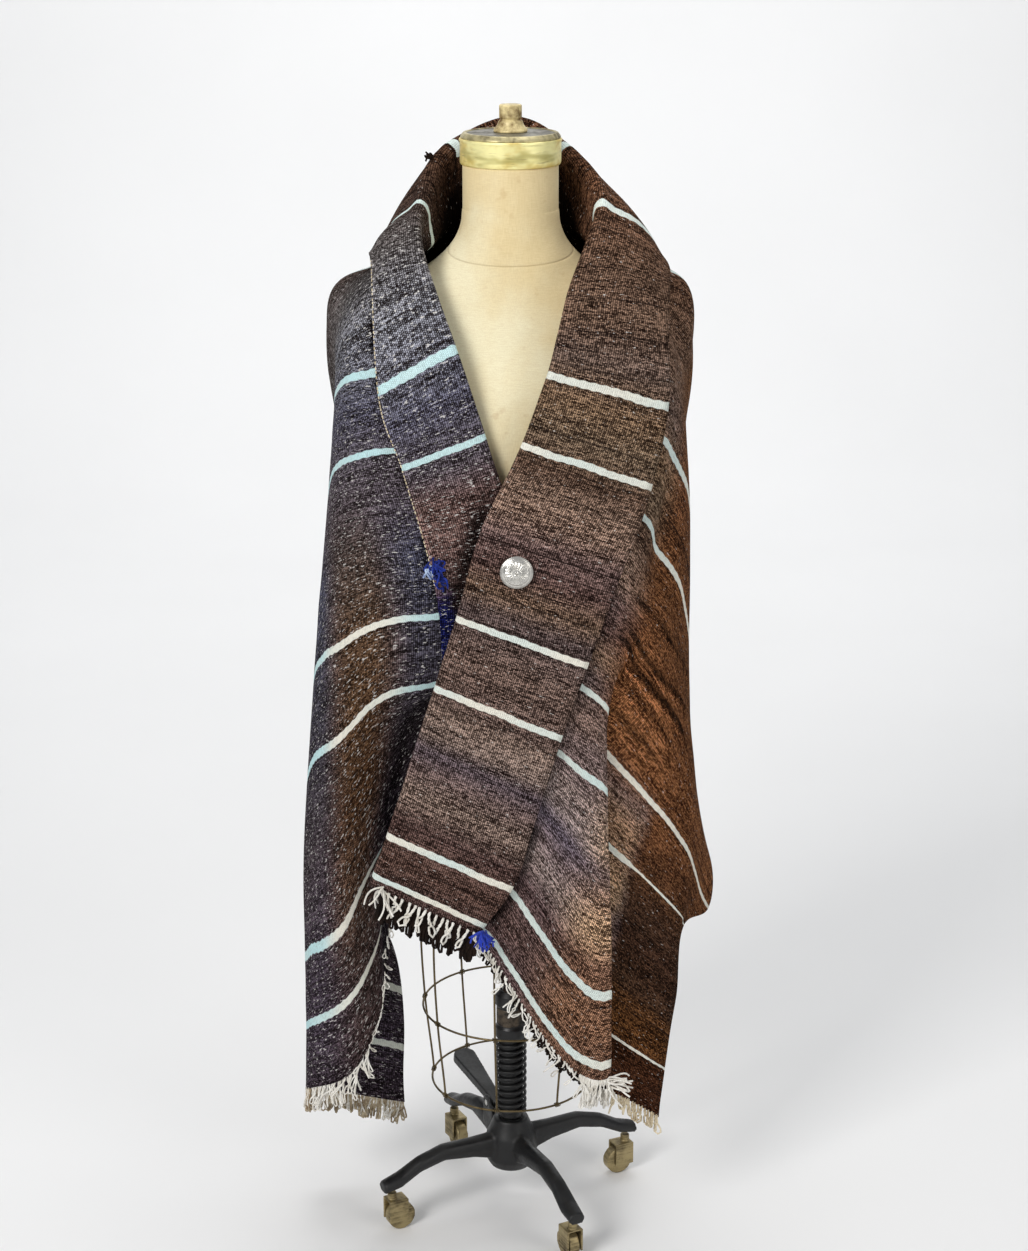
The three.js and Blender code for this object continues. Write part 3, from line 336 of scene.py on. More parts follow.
def lengths(points, power=1.0):
    """How far along a line each of its points is, with its steps raised to a power."""
    steps = np.linalg.norm(np.diff(points, axis=0), axis=1)
    return np.concatenate([[0], np.cumsum(steps**power)])


def along_line(places, knots, points):
    """Points at places along a line whose own points are at knots."""
    return np.stack([np.interp(places, knots, points[:, k]) for k in range(3)], axis=-1)


def smoothstep(low, high, value):
    t = np.clip((value - low) / (high - low), 0, 1)
    return t * t * (3 - 2 * t)


def window(value, rise, fall):
    """One from the end of a rise to the start of a fall, and zero outside them; either may be None."""
    inside = smoothstep(*rise, value) if rise else 1.0
    return inside * (1 - smoothstep(*fall, value)) if fall else inside


def zone(name, along, across):
    """How strongly a zone acts at each place."""
    row = ZONES[name]
    return row["strength"] * window(along, row["start"], row["stop"]) * window(across, row["near"], row["far"])


def waves(seed, places, length, count=5):
    """Smooth noise of about one over places, whose shortest wave is near length."""
    rng = np.random.default_rng(seed)
    total = 0
    for _ in range(count):
        total = total + np.sin(2 * np.pi * (places / (length * rng.uniform(1, 3)) + rng.uniform()))
    return total / count


def around(radius, angle, height):
    return (radius * math.cos(angle), radius * math.sin(angle), height)


def ring_faces(rings, sides):
    """Quads between each ring of points and the next."""
    faces = []
    for i in range(rings - 1):
        for k in range(sides):
            a, b = i * sides + k, i * sides + (k + 1) % sides
            faces.append((a, b, b + sides, a + sides))
    return faces


def mesh_object(name, points, faces):
    mesh = bpy.data.meshes.new(name)
    mesh.from_pydata([tuple(p) for p in points], [], faces)
    mesh.validate()
    mesh.polygons.foreach_set("use_smooth", [True] * len(mesh.polygons))
    piece = bpy.data.objects.new(name, mesh)
    scene.collection.objects.link(piece)
    return piece


def measured(mesh, name, values):
    """Puts a number on each point of a mesh, for its material to read."""
    values = np.asarray(values, np.float32).ravel()
    mesh.attributes.new(name, "FLOAT", "POINT").data.foreach_set("value", values)


def welded(piece, distance):
    """Joins a piece's doubled points and turns its faces outwards."""
    tidy = bmesh.new()
    tidy.from_mesh(piece.data)
    bmesh.ops.remove_doubles(tidy, verts=tidy.verts, dist=distance)
    bmesh.ops.recalc_face_normals(tidy, faces=tidy.faces)
    tidy.to_mesh(piece.data)
    tidy.free()
    return piece


def dressed(piece, slot, replaces=(), material=None, body="form"):
    """Gives a piece its body and material, and hides the CAD nodes that it stands for."""
    piece.data.materials.clear()
    piece.data.materials.append(MATERIALS[material or slot])
    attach(piece, body)
    if replaces:
        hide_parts(*replaces)
    return piece


def applied(piece):
    """Makes a piece's modifiers, or its curve, into a plain mesh."""
    bpy.context.view_layer.update()
    evaluated = piece.evaluated_get(bpy.context.evaluated_depsgraph_get())
    mesh = bpy.data.meshes.new_from_object(evaluated)
    name = piece.name
    bpy.data.objects.remove(piece)
    result = bpy.data.objects.new(name, mesh)
    scene.collection.objects.link(result)
    result.data.polygons.foreach_set("use_smooth", [True] * len(mesh.polygons))
    return result


def tubes(name, paths, radius, closed=False, resolution=1):
    """Round wires or yarns along lists of points, in metres."""
    curve = bpy.data.curves.new(name, "CURVE")
    curve.dimensions = "3D"
    curve.bevel_depth = radius
    curve.bevel_resolution = resolution
    curve.use_fill_caps = True
    for path in paths:
        line = curve.splines.new("POLY")
        line.points.add(len(path) - 1)
        line.points.foreach_set("co", [c for p in path for c in (*p, 1.0)])
        line.use_cyclic_u = closed
    piece = bpy.data.objects.new(name, curve)
    scene.collection.objects.link(piece)
    return applied(piece)


def turned(name, profile, segments):
    """A solid of revolution about the vertical axis from (radius, height) points in metres."""
    angles = [2 * math.pi * k / segments for k in range(segments)]
    points = [around(radius, angle, height) for radius, height in profile for angle in angles]
    return welded(mesh_object(name, points, ring_faces(len(profile), segments)), 1e-6)


def rounded(profile, size, steps):
    """A profile with each inner corner rounded off by about size."""
    out = [profile[0]]
    for before, corner, after in zip(profile, profile[1:], profile[2:]):
        corner, before, after = (np.array(p, float) for p in (corner, before, after))
        near = min(size, np.linalg.norm(before - corner) / 2.2)
        far = min(size, np.linalg.norm(after - corner) / 2.2)
        start = corner + (before - corner) / max(np.linalg.norm(before - corner), 1e-9) * near
        end = corner + (after - corner) / max(np.linalg.norm(after - corner), 1e-9) * far
        for n in range(steps + 1):
            t = n / steps
            out.append(tuple((1 - t) ** 2 * start + 2 * t * (1 - t) * corner + t * t * end))
    out.append(profile[-1])
    return out


def lathe(name, profile, size, steps, segments, slot, replaces=(), material=None, body="form"):
    """A turned piece with its corners rounded off, finished."""
    return dressed(turned(name, rounded(profile, size, steps), segments), slot, replaces, material, body)


# ---- the materials ----
class Shader:
    """A Principled material with short ways to add nodes to it."""

    def __init__(self, name, roughness=0.8, metallic=0.0, **sockets):
        self.material = bpy.data.materials.new(name)
        self.material.use_nodes = True
        self.tree = self.material.node_tree
        self.shader = self.tree.nodes["Principled BSDF"]
        self.shader.inputs["Roughness"].default_value = roughness
        self.shader.inputs["Metallic"].default_value = metallic
        for socket, value in sockets.items():
            title = socket.replace("_", " ").title().replace("Ior", "IOR")
            self.shader.inputs[title].default_value = value

    def put(self, socket, value):
        if isinstance(value, bpy.types.NodeSocket):
            self.tree.links.new(value, socket)
        else:
            socket.default_value = value

    def node(self, kind, inputs=None, **settings):
        """A new node with its settings, and then its inputs by name or by number."""
        made = self.tree.nodes.new(kind)
        for key, value in settings.items():
            setattr(made, key, value)
        for key, value in (inputs or {}).items():
            self.put(made.inputs[key], value)
        return made

    def sum(self, operation, a, b=0.0):
        return self.node("ShaderNodeMath", {0: a, 1: b}, operation=operation).outputs[0]

    def times(self, a, b):
        return self.sum("MULTIPLY", a, b)

    def weigh(self, *pairs):
        """The total of values, each times its weight."""
        total = None
        for value, weight in pairs:
            part = value if weight == 1 else self.times(value, weight)
            total = part if total is None else self.sum("ADD", total, part)
        return total

    def arch(self, value):
        """Half a sine wave between one whole number and the next."""
        return self.sum("SINE", self.times(self.sum("FRACT", value), math.pi))

    def coordinates(self, scale, uv=None):
        """Object coordinates, or those of a UV map, times a scale on each axis."""
        source = self.node("ShaderNodeUVMap", uv_map=uv) if uv else self.node("ShaderNodeTexCoord")
        vector = source.outputs["UV" if uv else "Object"]
        return self.node("ShaderNodeMapping", {"Vector": vector, "Scale": scale}).outputs[0]

    def noise(self, scale, uv=None, detail=2.0, rough=0.5, offset=0.0):
        vector = self.coordinates(scale, uv)
        if offset:
            shift = (offset, offset * 0.7, offset * 0.3)
            vector = self.node("ShaderNodeVectorMath", {0: vector, 1: shift}, operation="ADD").outputs[0]
        inputs = {"Vector": vector, "Scale": 1.0, "Detail": detail, "Roughness": rough}
        return self.node("ShaderNodeTexNoise", inputs).outputs["Fac"]

    def scatter(self, a, b):
        """A random number of 0 to 1 for each pair of whole numbers."""
        pair = self.node("ShaderNodeCombineXYZ", {0: a, 1: b}).outputs[0]
        return self.node("ShaderNodeTexWhiteNoise", {"Vector": pair}, noise_dimensions="2D").outputs["Value"]

    def band(self, value, low, high, to_low=0.0, to_high=1.0):
        inputs = dict(enumerate((value, low, high, to_low, to_high)))
        return self.node("ShaderNodeMapRange", inputs, interpolation_type="SMOOTHSTEP").outputs[0]

    def mix(self, factor, a, b, blend="MIX"):
        a, b = ((*value, 1.0) if isinstance(value, tuple) else value for value in (a, b))
        inputs = {"Factor": factor, "A": a, "B": b}
        return self.node("ShaderNodeMix", inputs, data_type="RGBA", blend_type=blend).outputs["Result"]

    def patched(self, base, mask, low, high, share, colour):
        """A colour (sRGB) laid over the base, up to a share of it, as the mask goes from low to high."""
        return self.mix(self.band(mask, low, high, 0, share), base, shade(colour))

    def attribute(self, name, output="Fac"):
        return self.node("ShaderNodeAttribute", attribute_name=name).outputs[output]

    def colour(self, value):
        self.put(self.shader.inputs["Base Color"], value)

    def bump(self, height, strength, distance):
        inputs = {"Strength": strength, "Distance": distance, "Height": height}
        self.put(self.shader.inputs["Normal"], self.node("ShaderNodeBump", inputs).outputs[0])


def wool_material():
    """Weft-faced wool: beads of weft between ribs, heathered yarn, flecks and the pale stripes."""
    s = Shader("wool", roughness=0.97, specular_ior_level=0.03)
    weave = "weave"
    along, across, _ = s.node("ShaderNodeSeparateXYZ", {0: s.coordinates((1, 1, 1), weave)}).outputs

    # beads of weft, in rows and ribs that wander a little
    wander = s.noise((45, 22, 1), weave, detail=1.0, offset=51)
    waver = s.noise((30, 60, 1), weave, detail=1.0, offset=67)
    rib = s.weigh((across, 1 / RIB), (wander, 1.1))
    rib_number = s.sum("FLOOR", rib)
    odd = s.times(s.sum("MODULO", rib_number, 2.0), 0.5)
    pick = s.weigh((along, 1 / PICK), (waver, 1.6), (odd, 1))
    crown = s.arch(rib)
    bead = s.sum("SQRT", s.times(crown, s.arch(pick)))
    each = s.scatter(rib_number, s.sum("FLOOR", pick))

    # heathered yarn: from dark to bright around the tint, with darker lines and pale flecks; the beads' height adds
    # painted shade between the beads and painted light on their crowns
    yarn = s.noise((760, 30, 1), weave, detail=2.0, rough=0.65)
    batch = s.noise((95, 5, 1), weave, detail=2.0, offset=23)
    light = s.weigh((each, 0.46), (yarn, 1.25), (batch, 0.45), (bead, 0.62))
    level = s.sum("POWER", s.band(light, 0.95, 2.0), 2.3)
    tint = s.attribute("tint", "Color")
    dark = s.mix(1.0, tint, DARK_YARN, "MULTIPLY")
    bright = s.mix(1.0, tint, BRIGHT_YARN, "MULTIPLY")
    wool = s.mix(level, dark, bright)
    lines = s.noise((330, 3, 1), weave, detail=1.0, offset=91)
    wool = s.patched(wool, lines, 0.64, 0.70, 0.6, (26, 18, 16))
    fleck = s.noise((420, 110, 1), weave, detail=2.0, rough=0.7, offset=37)
    more = s.band(along, 1.15, 1.3, 0.0, 0.07)
    fleck = s.weigh((fleck, 1), (more, 1), (each, 0.10))
    wool = s.patched(wool, fleck, 0.735, 0.80, 0.8, (226, 222, 218))
    # a thin line of painted shade where a crease crosses the right lapel
    seam = s.band(s.sum("ABSOLUTE", s.sum("SUBTRACT", along, LAPEL_CREASE_SHADE)), 0.0006, 0.0013, 0.75, 0.0)
    wool = s.mix(s.times(seam, s.band(across, 0.12, 0.16, 1.0, 0.0)), wool, shade((22, 15, 13)))

    # stripes: scalloped by the beat of the weft, and spilling over the left lapel's selvedge
    spill = s.times(s.band(across, -0.1475, -0.1455, 1.0, 0.0), s.band(along, 1.2, 1.25, 0.0, 0.62))
    distance = s.times(s.attribute("stripe"), s.sum("SUBTRACT", 1.0, spill))
    saw = s.times(s.sum("SUBTRACT", crown, 0.5), 0.14)
    beat = s.sum("SINE", s.times(across, math.tau / STRIPE_BEAT))
    inside = s.band(s.weigh((distance, 1), (beat, 0.10), (saw, 1)), 1.0, 1.14, 1, 0)
    chalk = s.mix(s.attribute("aqua"), shade((250, 246, 232)), shade((206, 242, 246)))
    # the stripes' grain: greyer at random yarns, and painted shade between the beads
    grain = s.weigh((bead, 0.55), (each, 0.45))
    chalk = s.mix(s.band(grain, 0.10, 0.55, 0.5, 0.0), chalk, shade((120, 122, 118)))
    s.colour(s.mix(inside, wool, chalk))
    s.bump(s.weigh((bead, 0.8), (yarn, 0.7), (inside, 0.4)), 0.8, 0.0014)
    return s.material


def yarn_material(name, colour, shadow, sheen=0.2):
    s = Shader(name, roughness=0.92, sheen_weight=sheen, sheen_roughness=0.5, specular_ior_level=0.15)
    fibre = s.noise((900, 900, 300))
    patch = s.noise((60, 60, 60), offset=9)
    s.colour(s.patched(shade(shadow), s.weigh((fibre, 0.5), (patch, 0.6)), 0.35, 0.75, 1, colour))
    s.bump(fibre, 0.6, 0.0006)
    return s.material


def linen_material():
    """Aged cream linen with a fine even weave, faint stains and drawn-in seams."""
    s = Shader("linen", roughness=0.82, sheen_weight=0.1, sheen_roughness=0.5)
    upright = s.noise((1500, 1500, 90))
    level = s.noise((120, 120, 1500), offset=5)
    stain = s.noise((7, 7, 5), detail=4.0, rough=0.6, offset=17)
    spots = s.noise((55, 55, 55), detail=3.0, offset=29)
    weave = s.weigh((upright, 1), (level, 1))
    base = s.patched(shade((242, 234, 200)), stain, 0.36, 0.68, 1, (230, 210, 162))
    base = s.patched(base, spots, 0.62, 0.75, 0.3, (188, 152, 98))
    base = s.mix(s.band(weave, 0.75, 1.25, 0.25, 0), base, shade((190, 164, 112)))
    seam = s.attribute("seam")
    s.colour(s.patched(base, seam, 0.15, 1.0, 0.55, (150, 120, 74)))
    s.bump(s.weigh((weave, 0.5), (seam, -2.0)), 0.45, 0.0008)
    return s.material


def worn_metal(name, colour, dark, roughness=0.4, metallic=1.0, grain=(160, 160, 160), wear=0.5):
    """A metal or enamel with patchy tarnish and fine scratches."""
    s = Shader(name, roughness=roughness, metallic=metallic)
    patches = s.noise((34, 34, 34), detail=5.0, rough=0.65)
    fine = s.noise(grain, detail=3.0, offset=13)
    tarnish = s.weigh((patches, 0.75), (fine, 0.35))
    s.colour(s.patched(shade(colour), tarnish, 0.45, 0.45 + 0.25 / wear, 1, dark))
    s.put(s.shader.inputs["Roughness"], s.band(tarnish, 0.35, 0.8, roughness * 0.75, min(1, roughness * 1.5)))
    s.bump(fine, 0.25, 0.0005)
    return s.material


def cap_material():
    """Lacquered brass: pale where it's clean, golden and greenish where it has aged."""
    s = Shader("lacquered_brass", roughness=0.38, metallic=0.35)
    cloud = s.noise((26, 26, 34), detail=3.0, rough=0.6)
    green = s.noise((18, 18, 60), offset=21)
    fine = s.noise((40, 40, 500), detail=3.0, offset=13)
    colour = s.patched(shade((255, 247, 178)), cloud, 0.38, 0.66, 1, (224, 198, 108))
    colour = s.patched(colour, green, 0.52, 0.68, 0.7, (168, 158, 84))
    s.colour(s.patched(colour, fine, 0.60, 0.72, 0.5, (150, 128, 72)))
    s.bump(fine, 0.2, 0.0004)
    return s.material


MATERIALS = {
    "wool": wool_material(),
    "fringe": yarn_material("fringe_yarn", (252, 250, 244), (206, 200, 188)),
    "fringe_warm": yarn_material("fringe_cream", (238, 226, 198), (176, 156, 124)),
    "fringe_old": yarn_material("fringe_aged", (214, 200, 172), (120, 98, 70)),
    "yarn": yarn_material("indigo_yarn", (46, 72, 196), (18, 26, 92)),
    "fringe_aqua": yarn_material("pale_blue_wool", (206, 226, 246), (70, 90, 160)),
    "indigo": yarn_material("indigo_wool", (38, 60, 160), (14, 18, 60), 0.1),
    "dark_yarn": yarn_material("dark_yarn", (40, 27, 20), (12, 8, 7), 0.0),
    "linen": linen_material(),
    "brass": worn_metal("dull_brass", (168, 152, 112), (72, 62, 46), 0.45, 0.8, grain=(40, 40, 400), wear=0.8),
    "cap_brass": cap_material(),
    "rim_brass": worn_metal("rim_brass", (196, 184, 140), (84, 74, 50), 0.4, 0.5, wear=0.8),
    "lid_steel": worn_metal("olive_steel", (118, 114, 100), (44, 41, 36), 0.42, 0.5, wear=0.8),
    "steel": worn_metal("dull_steel", (186, 186, 182), (92, 90, 84), 0.36, grain=(30, 30, 500)),
    "silver": worn_metal("stamped_silver", (212, 210, 204), (84, 80, 76), 0.36, grain=(300, 300, 300)),
    "ivory": worn_metal("cream_paint", (232, 214, 158), (120, 92, 46), 0.45, 0.1, wear=0.9),
    "iron": worn_metal("black_enamel", (7, 7, 9), (22, 21, 20), 0.46, 0.0, grain=(220, 220, 220), wear=0.7),
    "wire": worn_metal("tarnished_wire", (112, 98, 72), (34, 28, 22), 0.45),
    "rust": worn_metal("rusty_iron", (84, 72, 58), (20, 19, 18), 0.6, 0.3, wear=1.4),
}


# ---- the camera, the floor and the light ----
def camera():
    data = bpy.data.cameras.new("camera")
    data.lens = CAMERA["lens"]
    data.sensor_width = 36.0
    data.sensor_fit = "AUTO"
    eye = bpy.data.objects.new("camera", data)
    eye.location = CAMERA["place"]
    eye.rotation_euler = (math.radians(90 - CAMERA["pitch"]), 0, 0)
    scene.collection.objects.link(eye)
    scene.camera = eye


def backdrop():
    """A pale floor that sweeps up into a wall."""
    half, front, back, top, bend = 7.0, -4.6, 4.8, 5.6, 1.4
    line = [(front, 0.0), (back - bend, 0.0)]
    line += [(back - bend + bend * math.sin(t), bend - bend * math.cos(t))
             for t in np.linspace(0.1, math.pi / 2, 14)]
    line.append((back, top))
    points = [(x, y, z - 0.0005) for y, z in line for x in (-half, half)]
    faces = [(2 * i, 2 * i + 1, 2 * i + 3, 2 * i + 2) for i in range(len(line) - 1)]
    sweep = mesh_object("backdrop", points, faces)
    paper = Shader("paper", roughness=0.95)
    paper.colour(paper.mix(paper.noise((1.5, 1.5, 1.5)), shade((236, 236, 236)), shade((242, 242, 242))))
    sweep.data.materials.append(paper.material)


def light(name, place, aim, size, power, colour=(1, 1, 1)):
    data = bpy.data.lights.new(name, "AREA")
    data.shape = "RECTANGLE"
    data.size, data.size_y = size
    data.energy = power
    data.color = colour
    lamp = bpy.data.objects.new(name, data)
    lamp.location = place
    lamp.rotation_euler = (Vector(aim) - Vector(place)).to_track_quat("-Z", "Y").to_euler()
    scene.collection.objects.link(lamp)


def studio():
    world = bpy.data.worlds.new("studio")
    world.use_nodes = True
    sky = world.node_tree.nodes["Background"]
    sky.inputs["Color"].default_value = (0.93, 0.96, 1.0, 1)
    sky.inputs["Strength"].default_value = 0.32
    scene.world = world
    middle = (0, 0, 0.85)
    light("key", (-1.9, -2.7, 2.6), middle, (1.3, 1.3), 85, (1.0, 0.98, 0.96))
    light("fill", (2.6, -2.4, 1.8), middle, (1.6, 1.8), 26, (1.0, 0.97, 0.93))
    light("top", (0.2, 0.4, 3.4), middle, (2.0, 1.6), 34)
    light("wall", (0.0, 2.8, 3.6), (0, 4.8, 1.2), (4.2, 1.0), 75)
    scene.view_settings.view_transform = "Standard"


# ---- the blanket: its shape ----
SECTION_WARPS = np.array([row["warp"] for row in SECTIONS], float)
SECTION_POINTS = np.array([[row[rail] for rail in RAILS] for row in SECTIONS], float)
BAND_WARPS = np.array([row["warp"] for row in BAND], float)
BAND_VALUES = np.array([[*row["edge"], row["roll"], row["swell"]] for row in BAND], float)
BODY_COLUMNS = np.concatenate([np.linspace(k, k + 1, n, endpoint=False) for k, n in
                               enumerate(COLUMNS_BETWEEN_RAILS)] + [[len(RAILS) - 1.0]])


def weft_line(warp):
    """The rail points of one weft line, with square-root chord knots."""
    points = spline(SECTION_WARPS, SECTION_POINTS, warp)[0]
    return points, lengths(points, 0.5)


def cloth_points(warp, rails):
    """Points of the cloth on one weft line: rail 0 is the fold and rail 6 the lower selvedge."""
    points, knots = weft_line(warp)
    rails = np.atleast_1d(np.asarray(rails, float))
    low = np.clip(np.floor(rails).astype(int), 0, len(RAILS) - 2)
    places = spline(knots, points, knots[low] + (rails - low) * (knots[low + 1] - knots[low]))
    share = max(0.0, 1 - warp / END_SAG["span"])
    sag = np.abs(np.sin(math.pi * (rails - low))) ** 1.5 * (low == 1)
    places[:, 2] -= END_SAG["depth"] * share * sag
    return places


def rail_after_fold(warp, distance):
    points, _ = weft_line(warp)
    return min(0.9, distance / np.linalg.norm(points[1] - points[0]))


def band_line(warp):
    """The band's points on one weft line: from under the fold, round its roll and out to its selvedge."""
    fold = cloth_points(warp, 0)[0]
    x, y, z, roll, swell = spline(BAND_WARPS, BAND_VALUES, warp)[0]
    edge = np.array([x, y, z])
    under = unit(cloth_points(warp, rail_after_fold(warp, RETURN))[0] - fold)
    tangent = cloth_points(min(warp + 2, ENDS[1]), 0)[0] - cloth_points(max(warp - 2, 0), 0)[0]
    normal = -unit(np.cross(tangent, edge - fold))
    middle = fold + normal * roll
    top = middle + normal * roll
    back = unit(under + unit(edge - top))
    line = [fold + under * RETURN, fold + under * RETURN / 4]
    line += [middle - back * 0.7 * roll - normal * 0.7 * roll, middle - back * roll,
             middle - back * 0.7 * roll + normal * 0.7 * roll]
    for share in (0.08, 0.36, 0.68, 1):
        line.append(top + (edge - top) * share + normal * swell * math.sin(math.pi * share))
    return np.array(line)


def row_places():
    """Rows along the warp: even steps, with close ones at each stripe and where the creases are."""
    rows = set(np.round(np.linspace(*ENDS, int(ENDS[1] / ROW_STEP)), 2))
    for stripe in STRIPES:
        near = [stripe["warp"] + k * stripe["half"] for k in (-1.6, -0.8, 0, 0.8, 1.6)]
        rows = {r for r in rows if abs(r - stripe["warp"]) > 2 * stripe["half"]}
        rows |= {round(float(r), 2) for r in near if ENDS[0] < r < ENDS[1]}
    rows |= {float(r) for r in CREASE_ROWS}
    return np.array(sorted(rows | {float(ENDS[0]), float(BAND_END), float(ENDS[1])}))


def blanket_grid():
    """The middle surface of the whole cloth, with its woven coordinates."""
    warps = row_places()
    places, across = [], []
    for warp in warps:
        band = band_line(min(warp, BAND_END))
        knots = lengths(band, 0.6)
        band = spline(knots, band, np.linspace(knots[-1], 0, BAND_COLUMNS))
        start = rail_after_fold(warp, RETURN + BODY_START)
        body = cloth_points(warp, np.where(BODY_COLUMNS < 1, start + BODY_COLUMNS * (1 - start), BODY_COLUMNS))
        places.append(np.concatenate([band, body]))
        up = (RETURN - lengths(band[::-1]))[::-1]
        across.append(np.concatenate([up, RETURN + BODY_START + lengths(body)]))
    places, across = np.array(places), np.array(across)
    return places, np.broadcast_to(warps[:, None], across.shape), across


def grid_normals(places):
    return unit(np.cross(np.gradient(places, axis=0), np.gradient(places, axis=1)))


def creases(rows, across):
    """Depth in millimetres of the drag creases along the weft, with a low ridge below each."""
    total = 0
    outside, inside = CREASE_FADE["outside"], CREASE_FADE["inside"]
    for crease in CREASES:
        place = crease["warp"] + crease["rise"] * smoothstep(*CREASE_RISE, across) + 1.2 * waves(9, across, 40)
        start, end = crease["start"], crease["end"]
        where = window(across, (start - outside, start + inside), (end - inside, end + outside))
        groove = np.exp(-((rows - place) / GROOVE) ** 2)
        ridge = RIDGE["height"] * np.exp(-((rows - place + RIDGE["place"]) / RIDGE["half"]) ** 2)
        total = total + crease["depth"] * where * (groove - ridge)
    return total


def relief(rows, across):
    """How far the cloth stands off its smooth shape, in millimetres: soft waves and drag creases."""
    soft = waves(3, rows + 0.3 * across, 60) * waves(5, across - 0.2 * rows, 75) * 1.6
    hem = waves(12, rows, 70) * zone("wavy hem", rows, across)
    edge = waves(14, rows, 60) * zone("wavy band", rows, across)
    return soft - creases(rows, across) + hem + edge


def graded(batches, places):
    """A table's colours, made linear, at places along the warp."""
    colours = np.array([linear(row["colour"]) for row in batches])
    return along_line(places, [row["warp"] for row in batches], colours)


def blended(base, other, share):
    """Colours a share of the way from one to another."""
    return base * (1 - share[..., None]) + other * share[..., None]


def covered(places, across):
    """How far across each row the folded-out band reaches over the cloth behind it."""
    reach = []
    for row, measures in zip(places, across):
        behind = row[BAND_COLUMNS:]
        reach.append(measures[BAND_COLUMNS + np.argmin(np.linalg.norm(behind - row[0], axis=1))])
    return np.array(reach)[:, None]


def tints(rows, across, cover):
    """The wool's colour at each point: abrash along the warp, warmer and cooler parts, indigo yarn, with painted
    shadows beside the lapels, painted shade inside the collar, in the left hollow and in the creases, and painted
    highlight along the right lapel's fold.
    """
    u = rows + 4 * waves(21, across, 120)
    edge = across - across[:, :1]
    fine = 1 + 0.17 * waves(23, u + 0.02 * across, 7, 6) + 0.07 * waves(25, across, 60)

    def here(name):
        return zone(name, u, across)

    left = blended(graded(LEFT_COOL, u), graded(LEFT_WARM, u), here("left middle"))
    base = blended(graded(ABRASH, u), left, here("left"))
    base = blended(base, linear(LEFT_BAND), here("left band"))
    base = base * (1 + here("grey")[..., None] * GREY_PART) * (1 + here("gold")[..., None] * GOLD_PART)
    side = np.clip(here("right side") + here("right outside"), 0, 1)
    base = blended(base, graded(SIDE_ABRASH, u), side * here("below shoulder"))
    base = base * (1 - here("lapel") + here("front panel"))[..., None]

    past_lap = across - LAP_LINE["across"] - (rows - LAP_LINE["warp"]) * LAP_LINE["slope"]
    # painted shadow of the right lapel on the left band
    lapel_shadow = smoothstep(-4, 10, past_lap) * zone("lee of lapel", rows, across)
    # painted shadow on the body just past the folded band's free edge
    band_edge_shadow = zone("lap shadow", rows, across - cover) * zone("under band", rows, across)
    # painted shade in the drag creases and painted highlight on the ridges beside them
    crease_shade_and_highlight = np.clip(creases(rows, across) / CREASE_TONE["depth"], CREASE_TONE["lightest"], 1)
    # painted shade in the lower left hollow
    # painted shade inside the collar
    shadow = (1 - here("collar inside")) * (1 - here("left hollow"))
    shadow = shadow * (1 - lapel_shadow) * (1 - band_edge_shadow) * (1 - CREASE_TONE["strength"] * crease_shade_and_highlight)
    # painted highlight along the right lapel's fold, and a lighter line along the left lapel's free selvedge
    fold_highlight_and_pale_selvedge = zone("left selvedge", u, edge) + here("lapel fold")
    base = base * (fine * shadow * (1 + fold_highlight_and_pale_selvedge))[..., None]
    return blended(base, linear(INDIGO), zone("indigo", rows, edge + 6 * waves(27, rows, 14)))


def blueness(rows, across):
    """How blue the stripes are at each point, from 0 for cream to 1."""
    def here(name):
        return zone(name, rows, across)

    aqua = 0.9 - here("cream side") - here("cream ridge")
    aqua = aqua * (0.5 + here("blue left")) + 0.16 * waves(17, across + rows, 60)
    aqua = aqua - here("cream left side") - here("cream left front")
    return np.clip(aqua - here("cream lapel") * (0.6 + waves(19, across + rows, 90)), 0, 1)


def stripe_distance(rows, across):
    """Distance from the nearest stripe's middle over its half width, wavering along the weft."""
    u = rows + 1.6 * waves(31, across, 60) + 0.8 * waves(33, across + rows, 24)
    nearest = np.full(across.shape, NO_STRIPE)
    for stripe in STRIPES:
        distance = np.abs(u - stripe["warp"]) / stripe["half"]
        before, after = stripe.get("before"), stripe.get("after")
        if before:
            distance = distance + NO_STRIPE * smoothstep(before - STRIPE_FADE, before, across)
        if after:
            distance = distance + NO_STRIPE * (1 - smoothstep(after, after + STRIPE_FADE, across))
        nearest = np.minimum(nearest, distance)
    return nearest / (1 - zone("thin outside", rows, across) - zone("thin left", rows, across))


